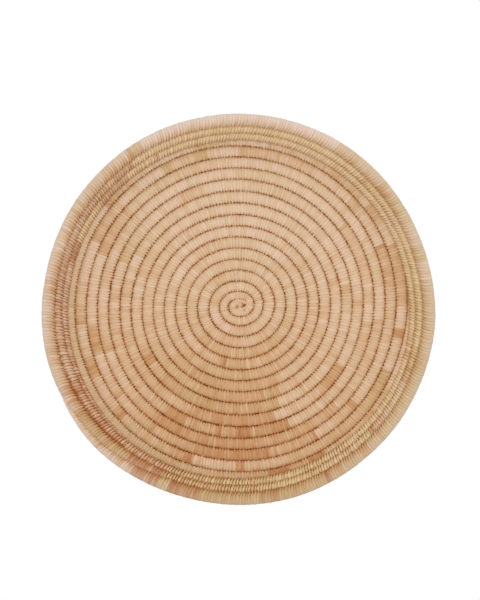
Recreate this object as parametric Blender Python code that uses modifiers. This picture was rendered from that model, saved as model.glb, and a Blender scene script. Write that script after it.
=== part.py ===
"""A wall disk of coiled palm leaf: a shallow round tray, hung with its hollow side out.

The disk's back lies in the plane Y = 0, its hollow faces -Y, and +Z is up. A flat spiral coil
makes the floor. A second coil, wound the other way round, climbs on the floor's edge and makes
the sloping wall and the rim. Each coil is one unbroken bundle of leaf ribs, with runs of leaf
wrapping round it. The pieces are laid out flat, axis up, and one empty turns them to hang.
"""

import functools
import math

import bmesh
import bpy
import numpy as np

# The floor coil
FLOOR_BUNDLE_WIDTH = 0.00726
FIRST_BUNDLE_WIDTH = 0.00449
FLOOR_START_RADIUS = 0.01085
FLOOR_TURNS = 15 + 2 / 24
FLOOR_TURNS_UNDER_WALL = 1 + 2 / 24
FLOOR_LEAD_TURNS = 6 / 24
GROWTH_TURNS = 2
FLOOR_LEAD_TAPER_TURNS = 0.35
FLOOR_TAIL_TAPER_TURNS = 0.3

# The wall coil, whose third turn is the rim
WALL_BUNDLE_WIDTH = 0.00821
WALL_RADIAL_STEP = 0.00725
WALL_CENTRE_DROP = 0.0033
WALL_START_ANGLE = math.radians(246)
WALL_TURNS = 3 + 39 / 360
WALL_TAPER_ANGLE = math.radians(76)
CLIMB_START_ANGLE = math.radians(280)
CLIMB_ARC = math.radians(110)

# What both coils share
TIP_WIDTH = 0.0018
BUNDLE_END_WIDTH = 0.0042
TURN_GAP = 0.00062
SEAT_GAP = 0.0003
WRAP_THICKNESS = 0.0006
CUT_OVERRUN = 0.001
POINTS_PER_TURN = 24

# The knot that the coil starts from
KNOT_ASIDE = 0.0015
KNOT_ASIDE_ANGLE = math.radians(200)
KNOT_EDGE_ROUND = 0.0016
KNOT_CROWN_RISE = 0.0005
KNOT_DIMPLE_RADIUS = 0.0013
KNOT_DIMPLE_DEPTH = 0.0028
KNOT_SIDES = 20
KNOT_CROWN_RADIUS_SHARE = 0.62
ROUND_SHARES = ((1.0, 0.0), (0.72, 0.72), (0.0, 1.0))

# How many runs of wrapping cover each coil
FLOOR_RUNS = 30
WALL_RUNS_PER_TURN = 6
GAP_SAMPLES = 5

STEP_TURN = 1 / POINTS_PER_TURN
FULL_TURN = 2 * math.pi
HEXAGON_FLAT = math.cos(math.radians(30))
SQUARE_FLAT = math.cos(math.radians(45))
WRAPPING_WIDTH = 2 * (WRAP_THICKNESS + SEAT_GAP / SQUARE_FLAT)
FLOOR_COIL_WIDTH = (FLOOR_BUNDLE_WIDTH + WRAPPING_WIDTH) / HEXAGON_FLAT
FIRST_COIL_WIDTH = (FIRST_BUNDLE_WIDTH + WRAPPING_WIDTH) / HEXAGON_FLAT
WALL_COIL_WIDTH = (WALL_BUNDLE_WIDTH + WRAPPING_WIDTH) / HEXAGON_FLAT
WALL_SPACING = WALL_COIL_WIDTH + TURN_GAP
WALL_RISE = math.sqrt(WALL_SPACING**2 - WALL_RADIAL_STEP**2)

BUNDLE_COLOUR = (0.36, 0.24, 0.12)
KNOT_COLOUR = (0.42, 0.22, 0.11)
FLOOR_COLOURS = ((0.66, 0.46, 0.29), (0.62, 0.41, 0.24), (0.60, 0.36, 0.19), (0.70, 0.51, 0.34))
WALL_COLOURS = ((0.56, 0.36, 0.19), (0.52, 0.30, 0.17), (0.60, 0.41, 0.22))
RIM_COLOURS = ((0.68, 0.50, 0.34), (0.64, 0.45, 0.28), (0.60, 0.40, 0.23))
LEAF_ROUGHNESS = 0.6
BUNDLE_ROUGHNESS = 0.85


def clamp(share):
    return min(max(share, 0.0), 1.0)


def smooth(share):
    share = clamp(share)
    return share * share * (3 - 2 * share)


def floor_width(turn):
    """Width of the wrapped floor coil, thin at both ends and slim in its first turns."""
    grown = FIRST_COIL_WIDTH + (FLOOR_COIL_WIDTH - FIRST_COIL_WIDTH) * clamp(turn / GROWTH_TURNS)
    lead = (turn + FLOOR_LEAD_TURNS) / FLOOR_LEAD_TAPER_TURNS
    tail = (FLOOR_TURNS - turn) / FLOOR_TAIL_TAPER_TURNS
    return TIP_WIDTH + (grown - TIP_WIDTH) * clamp(min(lead, tail))


def floor_radius(turn):
    """Radius of the coil's middle line. Each turn steps out by the coil's width there."""
    if turn < 0:
        beside = (floor_width(turn) + floor_width(turn + 1)) / 2 + TURN_GAP
        return floor_radius(turn + 1) - beside
    if turn > FLOOR_TURNS - FLOOR_TAIL_TAPER_TURNS:
        beside = (floor_width(turn) + floor_width(turn - 1)) / 2 + TURN_GAP
        return floor_radius(turn - 1) + beside
    growing = min(turn, GROWTH_TURNS)
    grown = growing**2 / (2 * GROWTH_TURNS) + max(turn - GROWTH_TURNS, 0.0)
    radius = FLOOR_START_RADIUS + (FIRST_COIL_WIDTH + TURN_GAP) * turn
    return radius + (FLOOR_COIL_WIDTH - FIRST_COIL_WIDTH) * grown


def floor_point(turn):
    angle = FULL_TURN * turn
    radius = floor_radius(turn)
    height = floor_width(turn) / 2 * HEXAGON_FLAT
    return (radius * math.cos(angle), radius * math.sin(angle), height)


def wall_width(angle):
    lead = (WALL_START_ANGLE - angle) / WALL_TAPER_ANGLE
    tail = (angle - wall_end_angle()) / WALL_TAPER_ANGLE
    return TIP_WIDTH + (WALL_COIL_WIDTH - TIP_WIDTH) * clamp(min(lead, tail))


def wall_end_angle():
    return WALL_START_ANGLE - FULL_TURN * WALL_TURNS


def wall_level(angle):
    """How many coils up the wall lies: whole numbers, but in the arc where each turn climbs."""
    level = -1.0
    climb_start = CLIMB_START_ANGLE
    while climb_start > angle:
        level += smooth((climb_start - angle) / CLIMB_ARC)
        climb_start -= FULL_TURN
    slack = (WALL_COIL_WIDTH - wall_width(angle)) / 2 / WALL_SPACING
    return level + slack if angle > wall_end_angle() + FULL_TURN else level - slack


def wall_radius():
    """The first wall turn clears the last floor turn that doesn't run beneath it."""
    beside = (FLOOR_COIL_WIDTH + WALL_COIL_WIDTH) / 2 + TURN_GAP
    return floor_radius(FLOOR_TURNS - FLOOR_TURNS_UNDER_WALL) + beside


@functools.cache
def wall_foot_heights():
    """Lowest heights at which the first wall turn clears the floor, at each bend of a turn."""
    heights = [0.0] * POINTS_PER_TURN
    under = round(FLOOR_TURNS_UNDER_WALL * POINTS_PER_TURN)
    last = round(FLOOR_TURNS * POINTS_PER_TURN)
    for place in range(last - under, last + 1):
        turn = place * STEP_TURN
        clear = (floor_width(turn) + WALL_COIL_WIDTH) / 2 + TURN_GAP
        drop = WALL_CENTRE_DROP * math.sin(FULL_TURN * turn)
        aside = wall_radius() - floor_radius(turn) - drop
        rise = math.sqrt(max(clear**2 - aside**2, 0.0))
        low = floor_width(turn) / 2 * HEXAGON_FLAT + rise
        heights[place % POINTS_PER_TURN] = max(low, heights[place % POINTS_PER_TURN])
    return heights


def wall_point(angle):
    level = wall_level(angle)
    radius = wall_radius() + level * WALL_RADIAL_STEP
    place = round(angle / (FULL_TURN * STEP_TURN)) % POINTS_PER_TURN
    height = wall_foot_heights()[place] + level * WALL_RISE
    return (radius * math.cos(angle), radius * math.sin(angle) - WALL_CENTRE_DROP, height)


def floor_path():
    """Points and widths along the floor coil, out from the knot.

    The point after the first is left out, so that the thin start runs straight.
    """
    count = round((FLOOR_TURNS + FLOOR_LEAD_TURNS) * POINTS_PER_TURN)
    turns = [step * STEP_TURN - FLOOR_LEAD_TURNS for step in range(count + 1)]
    points = [np.array(floor_point(turn)) for turn in turns]
    widths = [floor_width(turn) for turn in turns]
    del points[1], widths[1]
    return points, widths


def wall_path():
    """Points and widths along the wall coil, from its thin start to the rim's thin end.

    Both ends lie on the straight runs between the even places where all turns bend.
    """
    step = FULL_TURN * STEP_TURN
    first = math.ceil(WALL_START_ANGLE / step)
    last = math.floor(wall_end_angle() / step)
    angles = [place * step for place in range(first, last - 1, -1)]
    points = [np.array(wall_point(angle)) for angle in angles]
    widths = [wall_width(angle) for angle in angles]
    late = (angles[0] - WALL_START_ANGLE) / step
    early = (wall_end_angle() - angles[-1]) / step
    points[0] = points[0] + (points[1] - points[0]) * late
    points[-1] = points[-1] + (points[-2] - points[-1]) * early
    return points, widths


def new_material(name, colour, roughness):
    material = bpy.data.materials.new(name)
    material.use_nodes = True
    shader = material.node_tree.nodes["Principled BSDF"]
    shader.inputs["Base Color"].default_value = (*colour, 1.0)
    shader.inputs["Roughness"].default_value = roughness
    shader.inputs["Metallic"].default_value = 0.0
    return material


def curve_tube(name, points, radii, sides_level, collection, parent):
    """A capped tube along straight runs, with one radius for each point."""
    curve = bpy.data.curves.new(name, "CURVE")
    curve.dimensions = "3D"
    curve.twist_mode = "Z_UP"
    curve.bevel_depth = max(radii)
    curve.bevel_resolution = sides_level
    curve.use_fill_caps = True
    spline = curve.splines.new("POLY")
    spline.points.add(len(points) - 1)
    for spot, point, radius in zip(spline.points, points, radii):
        spot.co = (*point, 1.0)
        spot.radius = radius / max(radii)
    tube = bpy.data.objects.new(name, curve)
    tube.parent = parent
    collection.objects.link(tube)
    return tube


def tube_as_mesh(tube, collection):
    """The same tube as a closed mesh in place of the curve."""
    bpy.context.view_layer.update()
    seen = tube.evaluated_get(bpy.context.evaluated_depsgraph_get())
    mesh = bpy.data.meshes.new_from_object(seen)
    work = bmesh.new()
    work.from_mesh(mesh)
    bmesh.ops.remove_doubles(work, verts=work.verts, dist=SEAT_GAP / 10)
    bmesh.ops.recalc_face_normals(work, faces=work.faces)
    work.to_mesh(mesh)
    work.free()
    name = tube.name
    place = tube.matrix_world.copy()
    curve = tube.data
    bpy.data.objects.remove(tube)
    bpy.data.curves.remove(curve)
    solid = bpy.data.objects.new(name, mesh)
    collection.objects.link(solid)
    solid.matrix_world = place
    return solid


def middle_cut(points, widths, first, last):
    """A stretch of a path that starts and ends half way along a segment, half a gap short."""
    stretch = list(points[first + 1 : last + 1])
    across = list(widths[first + 1 : last + 1])
    if first >= 0:
        along = points[first + 1] - points[first]
        trim = along / np.linalg.norm(along) * SEAT_GAP / 2
        stretch.insert(0, (points[first] + points[first + 1]) / 2 + trim)
        across.insert(0, (widths[first] + widths[first + 1]) / 2)
    if last < len(points) - 1:
        along = points[last + 1] - points[last]
        trim = along / np.linalg.norm(along) * SEAT_GAP / 2
        stretch.append((points[last] + points[last + 1]) / 2 - trim)
        across.append((widths[last] + widths[last + 1]) / 2)
    return stretch, across


def slid_ends(points, first_slide, last_slide):
    """The same points with each end moved along its own run, outwards where positive."""
    moved = list(points)
    out = moved[0] - moved[1]
    moved[0] = moved[0] + out / np.linalg.norm(out) * first_slide
    out = moved[-1] - moved[-2]
    moved[-1] = moved[-1] + out / np.linalg.norm(out) * last_slide
    return moved


def without_tips(points, widths):
    """The part of a path that is thick enough to hold a bundle, and which ends were cut."""
    thick = [place for place, width in enumerate(widths) if width >= BUNDLE_END_WIDTH]
    first, last = thick[0], thick[-1]
    cut = (first > 0, last < len(points) - 1)
    return points[first : last + 1], widths[first : last + 1], cut


def bore_radius(width):
    return width / 2 * HEXAGON_FLAT - WRAP_THICKNESS


def bundle_radius(width):
    return bore_radius(width) - SEAT_GAP / SQUARE_FLAT


def make_bundle(name, points, widths, model, parent):
    """The unbroken bundle of ribs inside a coil, which ends where the wrapping gets thin."""
    points, widths, cut = without_tips(points, widths)
    inner = slid_ends(points, -SEAT_GAP, -SEAT_GAP)
    radii = [bundle_radius(width) for width in widths]
    bundle = tube_as_mesh(curve_tube(name, inner, radii, 0, model, parent), model)
    bundle.data.materials.append(new_material(name, BUNDLE_COLOUR, BUNDLE_ROUGHNESS))


def make_wrap(name, points, widths, first, last, colour, model, guides, parent):
    """One run of leaf wrapping: a six-sided sleeve, bored out for the bundle."""
    stretch, across = middle_cut(points, widths, first, last)
    radii = [width / 2 for width in across]
    wrap = tube_as_mesh(curve_tube(name, stretch, radii, 1, model, parent), model)
    bored, across, cut = without_tips(stretch, across)
    bored = slid_ends(bored, 0.0 if cut[0] else CUT_OVERRUN, 0.0 if cut[1] else CUT_OVERRUN)
    radii = [bore_radius(width) for width in across]
    cutter = tube_as_mesh(curve_tube(name + "_bore", bored, radii, 0, guides, parent), guides)
    cutter.hide_render = True
    cutter.display_type = "WIRE"
    cut = wrap.modifiers.new("bore", "BOOLEAN")
    cut.operation = "DIFFERENCE"
    cut.solver = "EXACT"
    cut.object = cutter
    wrap.data.materials.append(new_material(name, colour, LEAF_ROUGHNESS))


def make_knot(model, parent):
    """The start knot: a low round button with a flat back and a dimple in its face."""
    first_turn = [step * STEP_TURN - FLOOR_LEAD_TURNS for step in range(POINTS_PER_TURN)]
    rooms = []
    for turn in first_turn:
        inner_edge = floor_radius(turn) - floor_width(turn) / 2
        aside = KNOT_ASIDE * math.cos(FULL_TURN * turn - KNOT_ASIDE_ANGLE)
        rooms.append(inner_edge * math.cos(FULL_TURN * STEP_TURN) - TURN_GAP - aside)
    radius = min(rooms)
    height = FIRST_COIL_WIDTH * HEXAGON_FLAT
    crown = height + KNOT_CROWN_RISE
    profile = [(0.0, crown - KNOT_DIMPLE_DEPTH), (KNOT_DIMPLE_RADIUS, crown - KNOT_DIMPLE_DEPTH / 2)]
    profile.append((radius * KNOT_CROWN_RADIUS_SHARE, crown))
    for out_share, up_share in reversed(ROUND_SHARES):
        across = radius - KNOT_EDGE_ROUND * (1 - out_share)
        profile.append((across, height - KNOT_EDGE_ROUND * (1 - up_share)))
    profile.append((radius, 0.0))
    profile.append((0.0, 0.0))
    mesh = bpy.data.meshes.new("centre_knot")
    work = bmesh.new()
    spots = [work.verts.new((across, 0.0, up)) for across, up in profile]
    for one, other in zip(spots, spots[1:]):
        work.edges.new((one, other))
    work.to_mesh(mesh)
    work.free()
    knot = bpy.data.objects.new("centre_knot", mesh)
    model.objects.link(knot)
    knot.parent = parent
    knot.location.x = KNOT_ASIDE * math.cos(KNOT_ASIDE_ANGLE)
    knot.location.y = KNOT_ASIDE * math.sin(KNOT_ASIDE_ANGLE)
    turned = knot.modifiers.new("turned", "SCREW")
    turned.steps = KNOT_SIDES
    turned.render_steps = KNOT_SIDES
    turned.use_merge_vertices = True
    turned.merge_threshold = SEAT_GAP / 10
    knot.data.materials.append(new_material("centre_knot", KNOT_COLOUR, LEAF_ROUGHNESS))


def floor_run_ends(segments):
    """Segments in whose middle one run of floor wrapping meets the next.

    A spiral's length grows with the square of its turns, so runs of one length end at square roots.
    """
    return [round(segments * math.sqrt(run / FLOOR_RUNS)) for run in range(1, FLOOR_RUNS)]


def make_floor(model, guides, parent):
    points, widths = floor_path()
    make_bundle("floor_bundle", points, widths, model, parent)
    ends = [-1] + floor_run_ends(len(points) - 1) + [len(points) - 1]
    for run, (first, last) in enumerate(zip(ends, ends[1:])):
        colour = FLOOR_COLOURS[run % len(FLOOR_COLOURS)]
        name = f"floor_wrap_{run + 1:02d}"
        make_wrap(name, points, widths, first, last, colour, model, guides, parent)


def make_wall(model, guides, parent):
    points, widths = wall_path()
    make_bundle("wall_bundle", points, widths, model, parent)
    stride = POINTS_PER_TURN // WALL_RUNS_PER_TURN
    ends = [-1] + list(range(stride, len(points) - 2, stride)) + [len(points) - 1]
    rim_from = (int(WALL_TURNS) - 1) * WALL_RUNS_PER_TURN
    rim_to = int(WALL_TURNS) * WALL_RUNS_PER_TURN
    for run, (first, last) in enumerate(zip(ends, ends[1:])):
        name = f"wall_wrap_{run + 1:02d}"
        colour = WALL_COLOURS[run % len(WALL_COLOURS)]
        if run >= rim_from:
            name = f"rim_wrap_{run - rim_from + 1:02d}"
            colour = RIM_COLOURS[run % len(RIM_COLOURS)]
        if run >= rim_to:
            name = "rim_tail_wrap"
        make_wrap(name, points, widths, first, last, colour, model, guides, parent)


def sampled(points, widths):
    """Places, half widths and path lengths at even shares of each segment."""
    places, halves = [], []
    for one, other, wide, next_wide in zip(points, points[1:], widths, widths[1:]):
        for sample in range(GAP_SAMPLES):
            share = sample / GAP_SAMPLES
            places.append(one + (other - one) * share)
            halves.append((wide + (next_wide - wide) * share) / 2)
    return np.array(places), np.array(halves)


def least_gap(places, halves, other_places, other_halves, skip):
    """Least space between two tubes, or in one tube between points over skip samples apart."""
    least = math.inf
    for index, (place, half) in enumerate(zip(places, halves)):
        spaces = np.linalg.norm(other_places - place, axis=1) - other_halves - half
        spaces = spaces[index + skip :] if skip else spaces
        least = min(least, float(spaces.min(initial=math.inf)))
    return least


def print_gaps():
    floor_places, floor_halves = sampled(*floor_path())
    wall_places, wall_halves = sampled(*wall_path())
    half_turn = POINTS_PER_TURN * GAP_SAMPLES // 2
    floor_gap = least_gap(floor_places, floor_halves, floor_places, floor_halves, half_turn)
    wall_gap = least_gap(wall_places, wall_halves, wall_places, wall_halves, half_turn)
    between = least_gap(floor_places, floor_halves, wall_places, wall_halves, 0)
    print(f"least gap of the floor coil to itself {floor_gap * 1000:.3f} mm")
    print(f"least gap of the wall coil to itself {wall_gap * 1000:.3f} mm")
    print(f"least gap between the two coils {between * 1000:.3f} mm")


def main():
    for old in list(bpy.data.objects):
        bpy.data.objects.remove(old)
    model = bpy.data.collections.new("palm_leaf_wall_disk")
    guides = bpy.data.collections.new("cutters")
    bpy.context.scene.collection.children.link(model)
    bpy.context.scene.collection.children.link(guides)
    hung = bpy.data.objects.new("hung", None)
    hung.rotation_euler = (math.radians(90), 0.0, 0.0)
    model.objects.link(hung)
    bpy.context.view_layer.update()
    make_knot(model, hung)
    make_floor(model, guides, hung)
    make_wall(model, guides, hung)
    print_gaps()


main()
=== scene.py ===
"""Looks of the palm leaf wall disk: every leaf wrap, the ribs inside, the start knot and the stage.

The disk is modelled lying flat with its hollow side up, then hung with its back in the plane Y = 0.
One leaf wrap is modelled for each kind of coil. It is repeated into a straight chain for each run
of wrapping, made uneven as hand work is, and laid along the coil's middle line.
"""

import math

import bpy
import numpy as np
from mathutils import Matrix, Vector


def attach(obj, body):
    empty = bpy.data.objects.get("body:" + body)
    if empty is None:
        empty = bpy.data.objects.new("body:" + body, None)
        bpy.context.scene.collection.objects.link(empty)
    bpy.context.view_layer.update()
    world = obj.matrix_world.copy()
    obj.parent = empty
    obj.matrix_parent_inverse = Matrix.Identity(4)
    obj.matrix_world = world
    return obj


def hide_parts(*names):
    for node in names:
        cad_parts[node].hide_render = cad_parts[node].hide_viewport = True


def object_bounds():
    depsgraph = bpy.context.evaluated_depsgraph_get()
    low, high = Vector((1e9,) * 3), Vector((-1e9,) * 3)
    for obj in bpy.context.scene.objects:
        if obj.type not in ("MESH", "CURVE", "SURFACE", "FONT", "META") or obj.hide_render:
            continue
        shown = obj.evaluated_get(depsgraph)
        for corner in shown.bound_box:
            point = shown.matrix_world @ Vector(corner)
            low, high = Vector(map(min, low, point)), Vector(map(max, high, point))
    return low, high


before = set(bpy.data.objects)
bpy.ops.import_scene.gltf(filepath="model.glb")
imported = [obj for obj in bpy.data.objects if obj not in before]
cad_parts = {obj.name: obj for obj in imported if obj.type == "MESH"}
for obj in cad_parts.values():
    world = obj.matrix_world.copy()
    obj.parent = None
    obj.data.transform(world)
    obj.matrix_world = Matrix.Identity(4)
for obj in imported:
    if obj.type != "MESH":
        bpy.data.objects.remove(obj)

bl_info = {
    "name": "Palm Leaf Wall Disk",
    "version": (1, 0, 0),
    "blender": (4, 5, 0),
    "location": "View3D > Sidebar > Leaf Disk",
    "description": "Weaves a coiled palm leaf wall disk wrap by wrap and sets its stage",
    "category": "Object",
}

CAD_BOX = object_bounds()
MM = 0.001

# Turns and angles of the two coils
FLOOR_TURNS = 15 + 2 / 24
FLOOR_TURNS_UNDER_WALL = 1 + 2 / 24
FLOOR_LEAD_TURNS = 6 / 24
GROWTH_TURNS = 2
FLOOR_LEAD_TAPER_TURNS = 0.22
FLOOR_TAIL_TAPER_TURNS = 0.3
FLOOR_TAIL_LIFT = 2.2
WALL_START_ANGLE = math.radians(246)
WALL_TURNS = 3 + 39 / 360
WALL_LEAD_TAPER = math.radians(76)
WALL_TAIL_TAPER = math.radians(38)
WALL_TAIL_BLUNTNESS = 0.7
CLIMB_START_ANGLE = math.radians(280)
CLIMB_ARC = math.radians(110)
BENDS_PER_TURN = 24
STEPS_PER_TURN = 360
LAST_FLOOR_TURN = 14
LEAF_GROWTH_TURNS = 6
FLOOR_RUNS = 30
WALL_RUNS = 12
RIM_RUNS = 6
FULL_TURN = 2 * math.pi
HEXAGON_FLAT = math.cos(math.radians(30))
SQUARE_FLAT = math.cos(math.radians(45))

# The wrap's rings, as shares across one strip of leaf, from groove to groove
RING_SHARES = (0.0, 0.13, 0.5, 0.87, 1.0)

# Section of a floor coil, as shares of half its pitch towards the turn before and half its height
FLOOR_SECTION_SHARES = (
    (1.03, -0.12), (1.22, 0.40), (1.10, 0.68), (0.90, 0.86), (0.62, 0.97), (0.22, 1.02),
    (-0.22, 1.02), (-0.60, 0.96), (-0.84, 0.78), (-0.98, 0.44), (-1.04, 0.00), (-0.99, -0.44),
    (-0.82, -0.80), (-0.48, -0.97), (0.00, -1.00), (0.48, -0.97), (0.82, -0.80), (1.00, -0.46),
)
# Section of a wall coil, as shares of half its pitch: towards the turn before, and to the hollow
WALL_SECTION_SHARES = (
    (1.03, -0.34), (1.34, 0.36), (1.28, 0.66), (1.00, 0.80), (0.62, 0.91), (0.20, 1.00),
    (-0.22, 0.99), (-0.58, 0.84), (-0.84, 0.57), (-0.99, 0.22), (-1.03, -0.16), (-0.88, -0.54),
    (-0.56, -0.83), (-0.20, -0.97), (0.18, -0.98), (0.50, -0.87), (0.76, -0.68), (0.96, -0.50),
)
# How deep the groove between wraps is, as a share of the section, at each of its points
FLOOR_GROOVE_SHARES = (
    0.00, 0.26, 0.20, 0.10, 0.06, 0.05, 0.05, 0.05, 0.06, 0.04, 0.00, 0.04,
    0.05, 0.05, 0.05, 0.05, 0.05, 0.04,
)
WALL_GROOVE_SHARES = (
    0.00, 0.44, 0.50, 0.38, 0.20, 0.12, 0.10, 0.10, 0.09, 0.05, 0.00, 0.04,
    0.05, 0.05, 0.05, 0.05, 0.05, 0.03,
)
# How much of its width a wrap keeps at each point: stitches gather where they enter a coil
FLOOR_SPREAD_SHARES = (0.8, 0.66, 0.74, 0.90) + (1.0,) * 13 + (0.9,)
WALL_SPREAD_SHARES = (0.7, 0.52, 0.60, 0.78, 0.94) + (1.0,) * 12 + (0.9,)
# How far a wrap has gone on along the coil at each point, in wraps
FLOOR_SLANT_SHARES = (
    0.50, 0.00, 0.01, 0.02, 0.04, 0.06, 0.08, 0.10, 0.12, 0.14, 0.18, 0.28,
    0.40, 0.52, 0.64, 0.76, 0.88, 0.96,
)
WALL_SLANT_SHARES = (
    0.50, 0.00, 0.06, 0.20, 0.38, 0.56, 0.72, 0.82, 0.87, 0.89, 0.90, 0.91,
    0.92, 0.93, 0.94, 0.95, 0.97, 0.98,
)
# How much painted shade, with rust, shows on a wrap's crown and in its groove, at each point of the
# section: it darkens the seams, grooves and stitch holes
FLOOR_SHADE_AND_STAIN_SHARES = (
    (1.0, 0.90, 0.62, 0.26, 0.06, 0.00, 0.00, 0.07, 0.30, 0.65, 0.95, 0.50) + (0.0,) * 5 + (0.6,),
    (1.0, 1.00, 0.90, 0.52, 0.28, 0.22, 0.22, 0.30, 0.50, 0.85, 1.00, 0.60) + (0.16,) * 5 + (0.8,),
)
WALL_SHADE_AND_STAIN_SHARES = (
    (0.2, 0.70, 0.32, 0.05, 0.00, 0.00, 0.00, 0.10, 0.50, 0.85, 1.00, 0.50) + (0.0,) * 6,
    (0.4, 1.15, 1.15, 1.10, 0.90, 0.68, 0.56, 0.60, 0.80, 1.00, 1.00, 0.60) + (0.16,) * 6,
)
RIM_SHADE_AND_STAIN_SHARES = (
    (1.0, 0.66, 0.24, 0.05) + (0.0,) * 13 + (0.6,),
    (1.0, 1.10, 1.10, 1.10, 0.74, 0.46, 0.36, 0.28, 0.22, 0.20, 0.18, 0.16) + (0.14,) * 5 + (0.8,),
)
# How much of the painted highlight shows at each point of the section, and of that in its groove:
# on the wall's crowns a painted highlight, on the rim's crest a painted highlight over faded leaf
FLOOR_HIGHLIGHT_AND_BLEACH_SHARES = (0.0,) * 18
WALL_HIGHLIGHT_SHARES = (0.0,) * 3 + (0.15, 0.45, 0.80, 1.00, 0.90, 0.30) + (0.0,) * 9
RIM_HIGHLIGHT_AND_BLEACH_SHARES = (0.0,) * 6 + (0.08, 0.25, 0.60, 0.90, 1.0, 1.0, 1.0, 0.9, 0.5, 0.2) + (0.0,) * 2
GROOVE_HIGHLIGHT_AND_BLEACH_SHARE = 0.6
# Points of a section, by number: its crest, where it is sewn into the turn before, the side
# towards that turn, the open side, and the side towards the next turn
CREST_POINT = 5
SEWN_POINTS = (1, 2)
INNER_POINTS = (1, 2, 3)
OPEN_POINTS = (4, 5, 6, 7, 8)
OUTER_POINTS = (8, 9, 10, 11)

# The knot: how far it reaches at each sixteenth of a turn, and its section from slit to edge
KNOT_REACH_SHARES = (
    0.90, 0.82, 0.86, 0.82, 0.84, 0.89, 0.93, 0.97, 1.00, 1.01, 0.97, 0.93, 0.86, 0.92, 1.06, 1.08,
)
KNOT_SECTION_SHARES = (
    (0.06, -0.98), (0.50, -1.00), (0.86, -0.90), (0.99, -0.50), (1.04, 0.00), (1.00, 0.44),
    (0.93, 0.74), (0.80, 0.93), (0.62, 1.02), (0.44, 1.05), (0.27, 1.02), (0.14, 0.90),
    (0.06, 0.62), (0.03, 0.20),
)
# Its wraps, how softly its edge runs, the grooves between its wraps, and the slit they go through
KNOT_WRAPS = 26
FACES_PER_KNOT_WRAP = 4
KNOT_EDGE_WAVES = 7
KNOT_GROOVE_SHARE = 0.05
KNOT_MIDDLE_MM = (1.5, -2.1)
KNOT_SLIT_MM = (6.4, -0.2)
KNOT_SLIT_HALF_LENGTH_MM = 1.7
KNOT_SLIT_TILT = math.radians(41)
# Dimples in the knot: place, radius and depth
KNOT_DIMPLES = (((4.6, 1.5), 0.8, 1.4), ((2.9, -2.6), 0.7, 0.3))
# Marks on the knot: place, half length, half width, tilt in degrees and strength; the second and
# third are painted shade in its deep dimple and its slit, the others rust marks
KNOT_RUST_AND_SHADE = (
    ((-1.0, -1.6), 3.1, 2.6, 60, 0.75), ((4.6, 1.5), 1.3, 1.1, 0, 0.95),
    ((6.6, -0.3), 2.2, 0.9, 41, 0.85), ((6.4, -4.9), 1.9, 1.4, 50, 0.65),
)
# The bundles: ribs seen round the outline, how deep it is cut between them, and their least width
RIBS_ROUND = 7
RIB_GROOVE_REACH = 0.43
THINNEST_BUNDLE = 0.0008
BUNDLE_STEPS_PER_TURN = 90

# How far the coils stray from a true spiral, in millimetres outwards, inside the first radius and
# outside the second: the same all round, then for the cosine and sine of the angle and its double
INNER_STRAY_MM = (-0.5, 0.9, -1.05, 1.3, 0.3)
OUTER_STRAY_MM = (0.5, 0.4, -1.0, 0.2, 0.5)
STRAY_RADII = (0.090, 0.140)
# Length that sets how often the coils sway from side to side
SWAY_WAVE = 0.03
# How far outwards the wall's turns stray besides, in millimetres: the coil's start below them, then
# the turns, which are counted from 0 to the rim's 2
WALL_STRAY_LEVELS = (-0.6, 0.0, 1.0, 2.0)
WALL_STRAY_MM = (0.0, 1.5, 0.8, 0.0)
# How slim the rim is beside the wall's other turns, and between which levels it slims
RIM_SLIMNESS = 0.93
RIM_SLIMMING_LEVELS = (1.2, 1.9)
# Where single stretches of the wall lean in or out: angle and arc in degrees, then how far
# outwards, in millimetres, at the foot and at the rim
WALL_LEANS = (
    (214, 48, -2.0, 0.0), (212, 46, 0.0, 2.7), (247, 27, 0.0, -2.0), (340, 34, 2.0, 0.8),
    (352, 22, 0.0, 0.8), (150, 45, 1.0, 0.0), (25, 32, 0.0, -1.2), (120, 22, 0.0, 0.6),
)

# How uneven the hand work is, in shares of a wrap's width, of the section or of the usual value
GROOVE_SWAY_SHARE = 0.10
BULGE_SWAY_SHARE = 0.016
BITE_SWAY_SHARE = 0.05
SWELL_SHARE = 0.018
SWELL_WAVES = (0.0091, 0.0223)
TILT_SWAY_SHARE = 0.10
WRAP_WIDTH_SHARES = (0.95, 1.06)
STROKE_SPREAD = 0.24
# How strong each wrap's painted highlight is, on the rim with its faded leaf
HIGHLIGHT_AND_BLEACH_SHARES = (0.65, 1.15)
DARKEST_CREASE = 1.3
# Points this near to each other are joined when a run is closed
WELD_DISTANCE = 0.00001
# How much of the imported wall's rise is left where wraps have settled into one another
SETTLED_SHARE = 0.96
# How far the whole wall has settled on the floor's last turn, then where it has settled further:
# angle and arc in degrees, and millimetres
FOOT_SETTLED_MM = 0.9
FOOT_SETTLED_FURTHER = (208, 84, 1.6)
# The wall's turns are counted from 0, and the tail beyond the rim hardly climbs
RIM_LEVEL = 2
TAIL_RISE_SHARE = 0.25

# Leaf strips: how many wraps one lasts, always below the second number, how far tones spread from
# strip to strip and redden along one, how far greenness spreads, how many strips end in a dark
# butt, how dark it is and what part of a strip, and how far greenness spreads from wrap to wrap
STRIP_WRAPS = (12, 21)
STRIP_TONE_SPREAD = 0.08
STRIP_REDDENING = 0.26
STRIP_GREEN_SPREAD = 0.14
DARK_BUTT_CHANCE = 0.24
DARK_BUTT_TONES = (0.15, 0.6)
DARK_BUTT_PARTS = 7
WRAP_GREEN_SPREAD = 0.05
# How unlike the strips are at the start of a coil that winds outwards, as a share of the usual
FIRST_STRIPS_SHARE = 0.35
# Usual tone and greenness of the strips, and how unlike its neighbours each wrap is
FLOOR_LEAF = (0.20, 0.08, 0.06)
WALL_LEAF = (0.26, 0.20, 0.11)
KNOT_LEAF = (0.20, 0.12, 0.07)
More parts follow.
